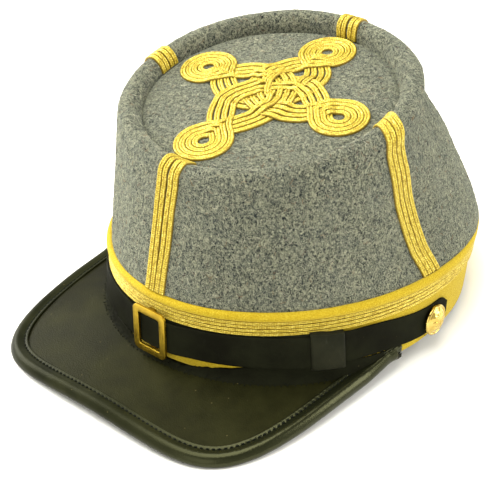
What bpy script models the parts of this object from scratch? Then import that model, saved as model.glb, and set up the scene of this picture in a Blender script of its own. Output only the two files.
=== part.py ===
"""An officer's kepi: a grey wool crown with a recessed, padded top, a yellow band, gold flat
braid, a leather visor and a leather chin strap held by a brass slide and two brass buttons.

Units are metres. The hat is drawn square to its band: +X is the wearer's left, -Y the front, and
z = 0 the lower edge of the band. The empty that all pieces hang on then turns the visor straight
to the front and tips the hat back a little, so that it rests on the corners of the visor and the
back of the band, as it does on a table. Angles run round the hat from the front towards the
wearer's left.
"""

from math import atan2, cos, degrees, pi, radians, sin

import bmesh
import bpy
from mathutils import Matrix, Vector

GAP = 0.0003  # between pieces that are sewn or laid on each other
ROUND_STEPS = 48  # facets round the crown, the band and its braid

# The band, and the ovals of its foot and its top, which is fuller towards the back of the head.
BAND_FOOT_HALF_DEPTH = 0.0993
BAND_FOOT_HALF_WIDTH = 0.0890
BAND_TOP_HALF_DEPTH = 0.0990
BAND_TOP_HALF_WIDTH = 0.0884
BACK_FULLNESS = 0.055
BAND_HEIGHT = 0.0364
BAND_THICKNESS = 0.0016
ROOM_BEHIND_BAND = 0.0006
WELT_HEIGHT = 0.0050
WELT_PROUD = 0.0010
# Where the soft band leans out or in, by angle.
BAND_LEAN = (
    # angle, at its foot, at its top
    (0, 0.0000, 0.0000),
    (70, 0.0000, 0.0002),
    (125, -0.0008, 0.0016),
    (175, 0.0000, 0.0004),
    (240, 0.0000, 0.0000),
    (310, -0.0002, -0.0004),
)

# The crown's wool wall, and the padded roll that stands round the sunken top.
WOOL_THICKNESS = 0.0022
RIM_TILT = radians(11.4)
RIM_CENTRE = Vector((0.0, -0.0180, 0.1075))
TOP_HALF_DEPTH = 0.0608
TOP_HALF_WIDTH = 0.0637
TOP_THICKNESS = 0.0020
ROLL_WIDTH = 0.0119
ROLL_RISE_FRONT = 0.0037  # from the sunken top to the crest of the roll
ROLL_RISE_BACK = 0.0083
ROLL_INNER_SHARE = 0.42  # how far across the roll its crest lies
ROLL_SHOULDER = 0.0072  # from the crest down to where the wall begins
WALL_FOOT_INSET = 0.0003  # the wool swells out again over the top of the band
WALL_LEVELS = (0.04, 0.16, 0.34, 0.54, 0.73, 0.88)  # rows of the wall, from the band to the roll
OUTER_ROLL_ANGLES = (90, 62, 30, 0)
INNER_ROLL_ANGLES = (35, 90)

# Folds of the wall: how far it swells out or is pushed in, low down and high up, by angle.
WALL_FOLDS = (
    # angle, low, middle, high
    (0, 0.0002, 0.0000, 0.0002),
    (40, 0.0000, 0.0004, 0.0006),
    (68, -0.0014, -0.0012, 0.0002),
    (90, -0.0030, -0.0044, -0.0016),
    (108, 0.0000, -0.0024, -0.0034),
    (128, 0.0034, -0.0008, -0.0066),
    (152, 0.0014, 0.0008, -0.0016),
    (180, -0.0010, 0.0000, 0.0002),
    (225, -0.0006, -0.0008, -0.0002),
    (270, -0.0012, -0.0010, 0.0000),
    (312, 0.0002, 0.0000, 0.0003),
)
FOLD_LEVELS = (0.18, 0.50, 0.86)
FOLD_REACH = 0.34
# Where the roll is fuller or narrower than its usual width, by angle.
ROLL_FULLNESS = (
    # angle, extra width
    (0, -0.0004),
    (60, 0.0002),
    (105, 0.0006),
    (128, 0.0008),
    (150, 0.0008),
    (180, -0.0004),
    (205, 0.0006),
    (270, -0.0002),
    (310, 0.0002),
)

# Flat braid: four strands side by side, each a ridge.
STRANDS = 4
BRAID_BASE = 0.0005
BRAID_RISE = 0.0011
WALL_BRAID_GAP = 0.0005
BRAID_EDGE_SHARE = 0.12  # how far in from the braid's edge its outer ridges start, in strands
WALL_BRAID_WIDTH_LOW = 0.0112
WALL_BRAID_WIDTH_HIGH = 0.0124
WALL_BRAIDS = (
    # name, angle at the band, angle at the sunken top, how far it bows aside halfway
    ("braid_front", -0.6, 0.0, 0.0),
    ("braid_left", 88.7, 95.0, -1.6),
    ("braid_back", 180.0, 178.5, 0.0),
    ("braid_right", 271.3, 273.0, 0.0),
)
BAND_BRAID_LOW = 0.0230
BAND_BRAID_HIGH = 0.0316

# The knot on the sunken top: one ribbon of braid with four loops, and between each loop and the
# next a wide arc that passes round the far side of the middle.
KNOT_WIDTH = 0.0120
KNOT_LOOP_RADIUS = 0.0089
KNOT_ARC_RADIUS = 0.0200
KNOT_ARC_OFFSET = 0.0142
KNOT_NECK = 0.0110  # from the middle of a loop in to where its ribbon crosses itself
KNOT_SHOULDER = 0.0180
KNOT_SPREAD = 0.0076
KNOT_CROSSING_RISE = 0.0011
KNOT_LOOPS = (
    # loop, angle of its middle counted from +X, distance from the knot's middle
    ("left", 2.0, 0.0415),
    ("back", 87.8, 0.0443),
    ("right", 172.9, 0.0443),
    ("front", 266.8, 0.0450),
)
HALF_LOOP_ANGLES = (0, 32, 64, 96, 132)
ARC_STEPS = (
    # angle round the arc, share raised
    (-72, 0.1),
    (-90, 0.0),
    (-105, 0.7),
    (-120, 1.0),
    (-135, 0.5),
    (-150, 0.0),
    (-165, 0.6),
    (-180, 1.0),
    (-198, 0.8),
)
# How far each length of ribbon reaches below the sunken top's face before it is cut level there.
KNOT_ROOT = 0.0010
KNOT_CUT = 0.0100
KNOT_CUT_SIDE = 0.2000

# The visor, which slopes down from under the band, and the leather that binds its edge.
VISOR_TURN = radians(-1.0)  # it is sewn on a little turned and to one side
VISOR_SIDE_SHIFT = -0.0043
VISOR_HALF_WIDTH = 0.0893
VISOR_END_FLARE = 0.0050  # how much wider each side grows towards its end
VISOR_REACH = 0.1398  # from the middle of the head to its front edge
VISOR_SQUARENESS = 4.9
VISOR_SLOPE = 0.27
VISOR_SLOPE_START = 0.0030  # its slope begins this far inside the band's face
VISOR_THICKNESS = 0.0022
VISOR_TUCK = 0.0036  # how far it reaches in under the band
VISOR_END_BACK = 0.0225  # its outer edge ends this far in front of the middle of the head
VISOR_END_ROOM = 0.0036  # or where it comes this near to the band
VISOR_STEPS = 36
VISOR_LIP = 0.0005  # from the band's face to where the visor's slope begins
BINDING_REACH = 0.0092
BINDING_THICKNESS = 0.0010
BINDING_CLEARANCE = 0.0010  # between the binding and the band, near the visor's ends
BEAD_WIDTH = 0.0034
BEAD_RISE = 0.0011
BEAD_MOST_SHARE = 0.8  # of the binding's width, where that is narrow

# The chin strap: the left half lies under the right half, which ends in the keeper.
STRAP_WIDTH = 0.0164
STRAP_THICKNESS = 0.0015
STRAP_MIDDLE_FRONT = 0.0142
STRAP_MIDDLE_SIDE = 0.0112
STRAP_SHIFT = 0.0008  # the outer half lies this much lower
STRAP_END_ANGLE = 97.5
STRAP_END_WIDTH = 0.45  # the strap's width at its rounded end, as a share
STRAP_OVERLAP_ANGLE = 55.5
STRAP_STEPS_PER_DEGREE = 0.25
KEEPER_ANGLES = (48.5, 58.0)
KEEPER_THICKNESS = 0.0012
KEEPER_MARGIN = 0.0010
KEEPER_STEPS = 4
LIFT_START = 1.5  # degrees past the keeper or the strap's end
LIFT_FADE = 14.0  # degrees over which a strap settles back onto the band

BUCKLE_ANGLE = -2.0
BUCKLE_WIDTH = 0.0208
BUCKLE_HEIGHT = 0.0240
BUCKLE_CORNER = 0.0030
BUCKLE_RAIL = 0.0037
BUCKLE_THICKNESS = 0.0014
BUCKLE_CHAMFER = 0.0004
SLIDE_BAR_WIDTH = 0.0040
SLIDE_BAR_THICKNESS = 0.0010
SLIDE_LIFT_ANGLE = 7.0  # degrees each way from the slide's middle
SLIDE_LIFT_FADE = 8.0
LUG_HEIGHT = 0.0024

BUTTON_ANGLE = 90.5
BUTTON_RADIUS = 0.0080
BUTTON_PROFILE = (
    # radius as a share of the button's, height
    (0.00, 0.0046),
    (0.34, 0.0043),
    (0.62, 0.0034),
    (0.84, 0.0021),
    (0.92, 0.0023),
    (1.00, 0.0016),
    (0.97, 0.0004),
    (0.80, 0.0000),
    (0.00, 0.0000),
)
BUTTON_STEPS = 20

MATERIALS = {
    # name: colour, roughness, metallic
    "grey_wool": ((0.19, 0.20, 0.17), 0.95, 0.0),
    "yellow_felt": ((0.90, 0.62, 0.04), 0.90, 0.0),
    "gold_braid": ((0.78, 0.58, 0.12), 0.42, 0.6),
    "black_leather": ((0.035, 0.035, 0.026), 0.42, 0.0),
    "strap_leather": ((0.022, 0.023, 0.018), 0.60, 0.0),
    "brass": ((0.72, 0.48, 0.14), 0.28, 1.0),
}


def ease(share):
    """A smooth step from 0 to 1."""
    share = min(1.0, max(0.0, share))
    return share * share * (3 - 2 * share)


def periodic(table, angle, column):
    """A value that eases between the rows of a table that runs once round the hat."""
    angle = angle % 360
    rows = list(table) + [(360,) + tuple(table[0][1:])]
    for low, high in zip(rows, rows[1:]):
        if low[0] <= angle <= high[0]:
            share = (angle - low[0]) / (high[0] - low[0])
            return low[column] + (high[column] - low[column]) * ease(share)


def band_oval(angle, outward, height):
    """A point beside the band: its angle, its distance out from the band's face, its height."""
    turn, share = radians(angle), height / BAND_HEIGHT
    foot_lean, top_lean = periodic(BAND_LEAN, angle, 1), periodic(BAND_LEAN, angle, 2)
    outward += foot_lean + (top_lean - foot_lean) * share
    foot = Vector((BAND_FOOT_HALF_WIDTH, BAND_FOOT_HALF_DEPTH))
    top = Vector((BAND_TOP_HALF_WIDTH * (1 - BACK_FULLNESS * cos(turn)), BAND_TOP_HALF_DEPTH))
    half = foot.lerp(top, share)
    return Vector(((half.x + outward) * sin(turn), -(half.y + outward) * cos(turn), height))


def outward_at(angle):
    """The level direction that the band faces at this angle."""
    ahead, behind = band_oval(angle + 0.5, 0, 0), band_oval(angle - 0.5, 0, 0)
    along = (ahead - behind).normalized()
    return Vector((along.y, -along.x, 0))


def round_angles():
    return [360 * i / ROUND_STEPS for i in range(ROUND_STEPS)]


def on_top_plane(x, y, up):
    """A point given in the plane of the sunken top, which slopes down to the front."""
    level, risen = y * cos(RIM_TILT) - up * sin(RIM_TILT), y * sin(RIM_TILT) + up * cos(RIM_TILT)
    return RIM_CENTRE + Vector((x, level, risen))


def rim_point(angle, outward, up):
    """A point beside the edge of the sunken top."""
    turn = radians(angle)
    edge = Vector((TOP_HALF_WIDTH * sin(turn), -TOP_HALF_DEPTH * cos(turn)))
    facing = Vector((sin(turn) / TOP_HALF_WIDTH, -cos(turn) / TOP_HALF_DEPTH)).normalized()
    edge += facing * outward
    return on_top_plane(edge.x, edge.y, up)


def roll_size(angle):
    """The roll's width and rise at this angle."""
    share = (1 - cos(radians(angle))) / 2
    rise = ROLL_RISE_FRONT + (ROLL_RISE_BACK - ROLL_RISE_FRONT) * share
    return ROLL_WIDTH + periodic(ROLL_FULLNESS, angle, 1), rise


def outer_roll_point(angle, slope):
    """A point on the roll's outer half: slope 0 is its crest, 90 its foot on the wall."""
    width, rise = roll_size(angle)
    crest, turn = width * ROLL_INNER_SHARE, radians(slope)
    return rim_point(angle, crest + (width - crest) * sin(turn), rise - ROLL_SHOULDER * (1 - cos(turn)))


def inner_roll_point(angle, slope):
    """A point on the roll's inner half: slope 0 is its crest, 90 its foot on the sunken top."""
    width, rise = roll_size(angle)
    turn = radians(slope)
    return rim_point(angle, width * ROLL_INNER_SHARE * (1 - sin(turn)), rise * cos(turn))


def fold_at(angle, level):
    """How far the wall's folds move it out at this place: each fold fades above and below it."""
    moved = 0.0
    for column, middle in enumerate(FOLD_LEVELS, 1):
        share = cos(min(1.0, abs(level - middle) / FOLD_REACH) * pi / 2) ** 2
        moved += periodic(WALL_FOLDS, angle, column) * share
    return moved


def wall_point(angle, level):
    """A point on the wool wall: level 0 is at the top of the band, 1 at the roll's foot."""
    low = band_oval(angle, -WALL_FOOT_INSET, BAND_HEIGHT)
    return low.lerp(outer_roll_point(angle, 90), level) + outward_at(angle) * fold_at(angle, level)


def crown_profile(angle):
    """The crown's outer face at this angle, from the top of the band over the roll."""
    wall = [wall_point(angle, level) for level in WALL_LEVELS]
    outer = [outer_roll_point(angle, slope) for slope in OUTER_ROLL_ANGLES]
    return wall + outer + [inner_roll_point(angle, slope) for slope in INNER_ROLL_ANGLES]


def make_material(name):
    colour, roughness, metallic = MATERIALS[name]
    material = bpy.data.materials.new(name)
    material.use_nodes = True
    shader = material.node_tree.nodes["Principled BSDF"]
    shader.inputs["Base Color"].default_value = (*colour, 1)
    shader.inputs["Roughness"].default_value = roughness
    shader.inputs["Metallic"].default_value = metallic
    material.diffuse_color = (*colour, 1)
    return material


def add_piece(name, mesh, material, sharp_angle=38):
    """Puts a mesh in the hat's collection, under the empty that the hat hangs on."""
    piece = bpy.data.objects.new(name, mesh)
    collection.objects.link(piece)
    piece.parent = stand
    mesh.materials.append(materials[material])
    mesh.shade_smooth()
    mesh.set_sharp_from_angle(angle=radians(sharp_angle))
    return piece


def add_cutter(mesh, beside):
    """A hidden shape that lies where the piece beside it lies."""
    cutter = bpy.data.objects.new(mesh.name, mesh)
    cutters.objects.link(cutter)
    cutter.parent = stand
    cutter.location, cutter.rotation_euler = beside.location, beside.rotation_euler
    cutter.hide_render = True
    cutter.display_type = "WIRE"
    return cutter


def join(piece, other, operation):
    boolean = piece.modifiers.new(other.name, "BOOLEAN")
    boolean.object = other
    boolean.operation = operation


def thicken(piece, thickness):
    """Gives an open skin its thickness, on the side away from the one it faces."""
    shell = piece.modifiers.new("thickness", "SOLIDIFY")
    shell.thickness = thickness
    shell.offset = -1
    shell.use_even_offset = True
    shell.thickness_clamp = 0


def mesh_from(bm, name):
    bmesh.ops.recalc_face_normals(bm, faces=bm.faces)
    mesh = bpy.data.meshes.new(name)
    bm.to_mesh(mesh)
    bm.free()
    return mesh


def loft(name, sections, round_trip=False, closed_section=True):
    """A skin through sections of equal length. A closed section that is no round trip is capped."""
    bm = bmesh.new()
    rows = [[bm.verts.new(point) for point in section] for section in sections]
    pairs = list(zip(rows, rows[1:])) + ([(rows[-1], rows[0])] if round_trip else [])
    size = len(rows[0])
    for low, high in pairs:
        for i in range(size if closed_section else size - 1):
            j = (i + 1) % size
            bm.faces.new((low[i], low[j], high[j], high[i]))
    if closed_section and not round_trip:
        bm.faces.new(rows[0])
        bm.faces.new(rows[-1])
    return mesh_from(bm, name)


def flat_curve(name, thickness, outlines):
    """The mesh of a plate with these outlines, the first round its outside."""
    curve = bpy.data.curves.new(name, "CURVE")
    curve.dimensions = "2D"
    curve.fill_mode = "BOTH"
    curve.extrude = thickness / 2
    for outline in outlines:
        spline = curve.splines.new("POLY")
        spline.points.add(len(outline) - 1)
        spline.use_cyclic_u = True
        for point, (x, y) in zip(spline.points, outline):
            point.co = (x, y, 0, 1)
    guide = bpy.data.objects.new(name + "_guide", curve)
    collection.objects.link(guide)
    plate = bpy.data.meshes.new_from_object(guide.evaluated_get(bpy.context.evaluated_depsgraph_get()))
    bpy.data.objects.remove(guide)
    bm = bmesh.new()
    bm.from_mesh(plate)
    bmesh.ops.remove_doubles(bm, verts=bm.verts, dist=1e-6)
    return mesh_from(bm, name)


def box(name, width, height, back, front, up=0.0):
    """A block on a piece's own axes: width along X, height along Y round up, back to front in Z."""
    bm = bmesh.new()
    made = bmesh.ops.create_cube(bm, size=1)
    bmesh.ops.scale(bm, verts=made["verts"], vec=(width, height, front - back))
    bmesh.ops.translate(bm, verts=made["verts"], vec=(0, up, (front + back) / 2))
    return mesh_from(bm, name)


def add_crown_side():
    """The wool wall in one piece with the roll: an open skin, given its thickness inwards."""
    sections = []
    for angle in round_angles():
        behind = -BAND_THICKNESS - ROOM_BEHIND_BAND
        behind_band = [band_oval(angle, behind, height) for height in (0, BAND_HEIGHT)]
        turned_in = rim_point(angle, 0, -TOP_THICKNESS)
        sections.append(behind_band + crown_profile(angle) + [turned_in])
    mesh = loft("crown_side", sections, round_trip=True, closed_section=False)
    thicken(add_piece("crown_side", mesh, "grey_wool", 60), WOOL_THICKNESS)


def add_crown_top():
    """The sunken top: a flat oval of wool that fits inside the roll."""
    width, depth = TOP_HALF_WIDTH - GAP, TOP_HALF_DEPTH - GAP
    outline = [(width * sin(radians(a)), -depth * cos(radians(a))) for a in round_angles()]
    piece = add_piece("crown_top", flat_curve("crown_top", TOP_THICKNESS, [outline]), "grey_wool")
    piece.location = on_top_plane(0, 0, -TOP_THICKNESS / 2)
    piece.rotation_euler.x = RIM_TILT


def add_band():
    """The felt band, with the folded welt along its upper edge."""
    foot = BAND_HEIGHT - WELT_HEIGHT
    profile = (
        # outward, height
        (-BAND_THICKNESS, 0),
        (0, 0),
        (0, foot),
        (WELT_PROUD * 0.85, foot + WELT_HEIGHT * 0.22),
        (WELT_PROUD, foot + WELT_HEIGHT * 0.55),
        (WELT_PROUD * 0.45, foot + WELT_HEIGHT * 0.88),
        (-BAND_THICKNESS * 0.5, foot + WELT_HEIGHT),
        (-BAND_THICKNESS, foot + WELT_HEIGHT * 0.9),
    )
    sections = [[band_oval(angle, out, up) for out, up in profile] for angle in round_angles()]
    add_piece("band", loft("band", sections, round_trip=True), "yellow_felt", 50)


def ridges(width):
    """The braid's ridged outline across its width: sideways places and heights."""
    strand = width / STRANDS
    margin = strand * BRAID_EDGE_SHARE
    outline = [(-width / 2, 0), (-width / 2 + margin, BRAID_BASE)]
    for i in range(STRANDS):
        left = -width / 2 + i * strand
        outline.append((left + strand / 2, BRAID_RISE))
        if i < STRANDS - 1:
            outline.append((left + strand, BRAID_BASE))
    return outline + [(width / 2 - margin, BRAID_BASE), (width / 2, 0)]


def add_band_braid():
    """Four rows of braid round the band, under the welt."""
    outline = ridges(BAND_BRAID_HIGH - BAND_BRAID_LOW)
    middle = (BAND_BRAID_HIGH + BAND_BRAID_LOW) / 2
    sections = []
    for angle in round_angles():
        sections.append([band_oval(angle, GAP + rise, middle + side) for side, rise in outline])
    add_piece("band_braid", loft("band_braid", sections, round_trip=True), "gold_braid", 80)


def add_wall_braid(name, low_angle, high_angle, bow):
    """Braid from the band up the wall and over the roll to the sunken top."""
    last = len(crown_profile(0)) - 1
    sections = []
    for row in range(last + 1):
        share = row / last
        angle = low_angle + (high_angle - low_angle) * share + bow * sin(pi * share)
        width = WALL_BRAID_WIDTH_LOW + (WALL_BRAID_WIDTH_HIGH - WALL_BRAID_WIDTH_LOW) * share
        radius = (crown_profile(angle + 1)[row] - crown_profile(angle - 1)[row]).length / radians(2)
        section = []
        for side, rise in ridges(width):
            here = angle + degrees(side / radius)
            profile = crown_profile(here)
            across = crown_profile(here + 1)[row] - crown_profile(here - 1)[row]
            upward = profile[min(last, row + 1)] - profile[max(0, row - 1)]
            section.append(profile[row] + across.cross(upward).normalized() * (WALL_BRAID_GAP + rise))
        sections.append(section)
    add_piece(name, loft(name, sections), "gold_braid", 80)


def loop_point(distance, step):
    """A point round one of the knot's loops, whose middle lies at this distance along X."""
    turn = radians(step)
    return Vector((distance + KNOT_LOOP_RADIUS * cos(turn), KNOT_LOOP_RADIUS * sin(turn)))


def knot_quarter(index):
    """The ribbon's middle line from the far end of one loop to the far end of the next.

    Each point comes with a share from 0 to 1, by which the ribbon is raised: it passes in turn
    over and under the ribbon that it crosses, starting with over at the first loop's neck.
    """
    _, angle, distance = KNOT_LOOPS[index]
    _, next_angle, next_distance = KNOT_LOOPS[(index + 1) % len(KNOT_LOOPS)]
    here, there = Matrix.Rotation(radians(angle), 2), Matrix.Rotation(radians(next_angle), 2)
    points = [(here @ loop_point(distance, step), 0.0) for step in HALF_LOOP_ANGLES]
    points.append((here @ Vector((distance - KNOT_NECK, 0)), 1.0))
    points.append((here @ Vector((distance - KNOT_SHOULDER, -KNOT_SPREAD)), 0.8))
    corner = radians(90 * index + 45)
    centre = Vector((cos(corner), sin(corner))) * KNOT_ARC_OFFSET
    for step, raised in ARC_STEPS:
        turn = radians(90 * index + step)
        points.append((centre + Vector((cos(turn), sin(turn))) * KNOT_ARC_RADIUS, raised))
    points.append((there @ Vector((next_distance - KNOT_SHOULDER, KNOT_SPREAD)), 0.2))
    points.append((there @ Vector((next_distance - KNOT_NECK, 0)), 0.0))
    points += [(there @ loop_point(next_distance, -step), 0.0) for step in HALF_LOOP_ANGLES[:0:-1]]
    return points


def knot_section(before, point, after, raised):
    """The ribbon's section at a point, square to its way; the root reaches below the top's face."""
    along = (after - before).normalized()
    across = Vector((along.y, -along.x))
    root = -KNOT_ROOT * (1 + 0.3 * raised)
    section = []
    for side, rise in ridges(KNOT_WIDTH):
        up = GAP + rise + KNOT_CROSSING_RISE * raised if rise else root
        section.append(Vector((*(point + across * side), up)))
    return section


def add_top_knot():
    """The knot as one solid: four lengths of ribbon joined, and the underside cut level."""
    quarters = [knot_quarter(index) for index in range(len(KNOT_LOOPS))]
    line = [place for quarter in quarters for place in quarter]
    sections = []
    for i, (point, raised) in enumerate(line):
        sections.append(knot_section(line[i - 1][0], point, line[(i + 1) % len(line)][0], raised))
    sections.append(sections[0])
    lengths, start = [], 0
    for quarter, (name, _, _) in zip(quarters, KNOT_LOOPS):
        end = start + len(quarter)
        lengths.append(loft("knot_from_" + name, sections[start : end + 1]))
        start = end
    piece = add_piece("top_knot", lengths[0], "gold_braid", 80)
    piece.location = on_top_plane(0, 0, 0)
    piece.rotation_euler.x = RIM_TILT
    for length in lengths[1:]:
        join(piece, add_cutter(length, piece), "UNION")
    under = box("under_knot", KNOT_CUT_SIDE, KNOT_CUT_SIDE, GAP - KNOT_CUT, GAP)
    join(piece, add_cutter(under, piece), "DIFFERENCE")


def visor_place(point):
    """Where a point of the visor's own outline lies once the visor is sewn on."""
    return Matrix.Rotation(VISOR_TURN, 2) @ point + Vector((VISOR_SIDE_SHIFT, 0))


def visor_height(point):
    """The height of the visor's upper face, which slopes from the foot of the band."""
    own = Matrix.Rotation(-VISOR_TURN, 2) @ (point - Vector((VISOR_SIDE_SHIFT, 0)))
    width, depth = BAND_FOOT_HALF_WIDTH - VISOR_SLOPE_START, BAND_FOOT_HALF_DEPTH - VISOR_SLOPE_START
    reach = Vector((own.x / width, own.y / depth)).length
    return -GAP - VISOR_SLOPE * max(0.0, own.length * (1 - 1 / reach))


def evenly(points, count):
    """The same line in equal steps."""
    lengths = [0.0]
    for a, b in zip(points, points[1:]):
        lengths.append(lengths[-1] + (b - a).length)
    result, j = [], 0
    for i in range(count):
        wanted = lengths[-1] * i / (count - 1)
        while j < len(points) - 2 and lengths[j + 1] < wanted:
            j += 1
        share = (wanted - lengths[j]) / (lengths[j + 1] - lengths[j])
        result.append(points[j].lerp(points[j + 1], min(1.0, share)))
    return result


def angle_of(point):
    """The angle round the hat at which a point lies."""
    return degrees(atan2(point.x, -point.y))


def beyond_band(point):
    """How far out from the foot of the band a point lies."""
    return point.length - band_oval(angle_of(point), 0, 0).xy.length


def visor_edge(inset):
    """Evenly spaced points of the visor's outer edge, moved in by inset."""
    fine, samples, power = [], 800, 2 / VISOR_SQUARENESS
    for i in range(samples + 1):
        turn = radians(-90 + 180 * i / samples)
        side = abs(sin(turn)) ** power * (1 if turn > 0 else -1)
        forward = abs(cos(turn)) ** power
        half_width = VISOR_HALF_WIDTH + VISOR_END_FLARE * (1 - forward) ** 2 - inset
        point = visor_place(Vector((half_width * side, (inset - VISOR_REACH) * forward)))
        if point.y < -VISOR_END_BACK and beyond_band(point) > VISOR_END_ROOM - inset:
            fine.append(point)
    return evenly(fine, VISOR_STEPS)


def visor_root(edge, outward):
    """Points along the foot of the band, where the visor comes out from under it."""
    start, end = angle_of(edge[0]), angle_of(edge[-1])
    angles = [start + (end - start) * i / (VISOR_STEPS - 1) for i in range(VISOR_STEPS)]
    return [band_oval(angle, outward, 0).xy for angle in angles]


def add_visor():
    """The visor's leather: an open skin from under the band to its edge, given its thickness."""
    edge = visor_edge(BINDING_THICKNESS + GAP)
    sections = []
    for tuck, start, end in zip(visor_root(edge, -VISOR_TUCK), visor_root(edge, VISOR_LIP), edge):
        flat = (tuck, start, start.lerp(end, 0.5), end)
        sections.append([Vector((*point, visor_height(point))) for point in flat])
    mesh = loft("visor", sections, closed_section=False)
    thicken(add_piece("visor", mesh, "black_leather", 50), VISOR_THICKNESS)


def room_to_band(point, inward):
    """How far a line that runs inward from the visor's edge goes before it meets the band."""
    room, step = 0.0, 0.0002
    while room < BINDING_REACH:
        if beyond_band(point + inward * (room + step)) < BINDING_CLEARANCE:
            break
        room += step
    return room


def binding_profile(reach):
    """The binding's section: how far out from the visor's edge, how far up from its upper face."""
    top, under = GAP, -VISOR_THICKNESS - GAP
    skin, bead = BINDING_THICKNESS, min(BEAD_WIDTH, reach * BEAD_MOST_SHARE)
    return (
        (-reach, top),
        (-reach, top + skin),
        (-bead, top + skin * 0.7),
        (-bead * 0.6, top + skin + BEAD_RISE * 0.8),
        (-bead * 0.15, top + skin * 0.7),
        (0, (top + under) / 2),
        (-bead * 0.25, under - skin),
        (-reach, under - skin),
        (-reach, under),
        (-skin, under),
        (-skin, top),
    )


def binding_sections():
    """The binding's sections along the visor's edge; it narrows where the edge nears the band."""
    edge = visor_edge(0)
    sections = []
    for i, point in enumerate(edge):
        along = (edge[min(len(edge) - 1, i + 1)] - edge[max(0, i - 1)]).normalized()
        facing = Vector((along.y, -along.x))
        section = []
        for out, up in binding_profile(room_to_band(point, -facing)):
            place = point + facing * out
            section.append(Vector((*place, visor_height(place) + up)))
        sections.append(section)
    return sections


def add_visor_binding():
    """The strip of leather that is folded over the visor's edge, with a bead along the edge."""
    add_piece("visor_binding", loft("visor_binding", binding_sections()), "black_leather", 40)


def strap_middle(angle):
    """The height of the chin strap's middle line, which falls a little towards the buttons."""
    share = (1 - cos(radians(angle))) / (1 - cos(radians(BUTTON_ANGLE)))
    return STRAP_MIDDLE_FRONT + (STRAP_MIDDLE_SIDE - STRAP_MIDDLE_FRONT) * share


def inner_strap(angle):
    """How far the inner half stands off the band, with room for the back of the keeper."""
    start, end = KEEPER_ANGLES
    beyond = max(0.0, start - angle, angle - end)
    return GAP + (KEEPER_THICKNESS + GAP) * (1 - ease((beyond - LIFT_START) / LIFT_FADE))


def outer_strap(angle):
    """The outer half lies on the inner one, over the slide's bar, and past its end on the band."""
    over_bar = 1 - ease((abs(angle - BUCKLE_ANGLE) - SLIDE_LIFT_ANGLE) / SLIDE_LIFT_FADE)
    covered = 1 - ease((-angle - STRAP_OVERLAP_ANGLE) / LIFT_FADE)
    lift = (STRAP_THICKNESS + GAP) * covered + (SLIDE_BAR_THICKNESS + GAP) * over_bar
    return inner_strap(angle) + lift


def add_strap(name, start, end, outward, shift):
    """One half of the chin strap, as a strip between two angles, rounded where it is buttoned."""
    steps = round(abs(end - start) * STRAP_STEPS_PER_DEGREE)
    sections = []
    for i in range(steps + 1):
        angle = start + (end - start) * i / steps
        from_end = radians(STRAP_END_ANGLE - abs(angle)) * BAND_FOOT_HALF_DEPTH
        half = STRAP_WIDTH / 2
        if from_end < half:
            half *= max(STRAP_END_WIDTH, (1 - (1 - from_end / half) ** 2) ** 0.5)
        middle = strap_middle(angle) + shift
        near, far = outward(angle), outward(angle) + STRAP_THICKNESS
        corners = ((near, -half), (near, half), (far, half), (far, -half))
        sections.append([band_oval(angle, out, middle + up) for out, up in corners])
    add_piece(name, loft(name, sections), "strap_leather", 40)


def add_keeper():
    """The loop of leather round both halves of the strap: its outer skin, then back inside."""
    start, end = KEEPER_ANGLES
    skin = KEEPER_THICKNESS
    outside, inside = [], []
    for i in range(KEEPER_STEPS + 1):
        angle = start + (end - start) * i / KEEPER_STEPS
        back = inner_strap(angle) - skin - GAP / 2
        front = outer_strap(angle) + STRAP_THICKNESS + GAP
        low = strap_middle(angle) - STRAP_SHIFT - STRAP_WIDTH / 2 - KEEPER_MARGIN
        high = strap_middle(angle) + STRAP_WIDTH / 2 + KEEPER_MARGIN
        outer_face, inner_face = (outside, back, front + skin, 0), (inside, back + skin, front, skin / 2)
        for ring, near, far, trim in (outer_face, inner_face):
            corners = ((near, low + trim), (near, high - trim), (far, high - trim), (far, low + trim))
            ring.append([band_oval(angle, out, up) for out, up in corners])
    mesh = loft("strap_keeper", outside + inside[::-1], round_trip=True)
    add_piece("strap_keeper", mesh, "strap_leather", 40)


def rounded_rectangle(width, height, corner):
    """An outline with three points round each corner."""
    points = []
    for x, y, start in ((1, 1, 0), (-1, 1, 90), (-1, -1, 180), (1, -1, 270)):
        for turn in (radians(start), radians(start + 45), radians(start + 90)):
            across = x * (width / 2 - corner) + corner * cos(turn)
            points.append((across, y * (height / 2 - corner) + corner * sin(turn)))
    return points


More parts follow.
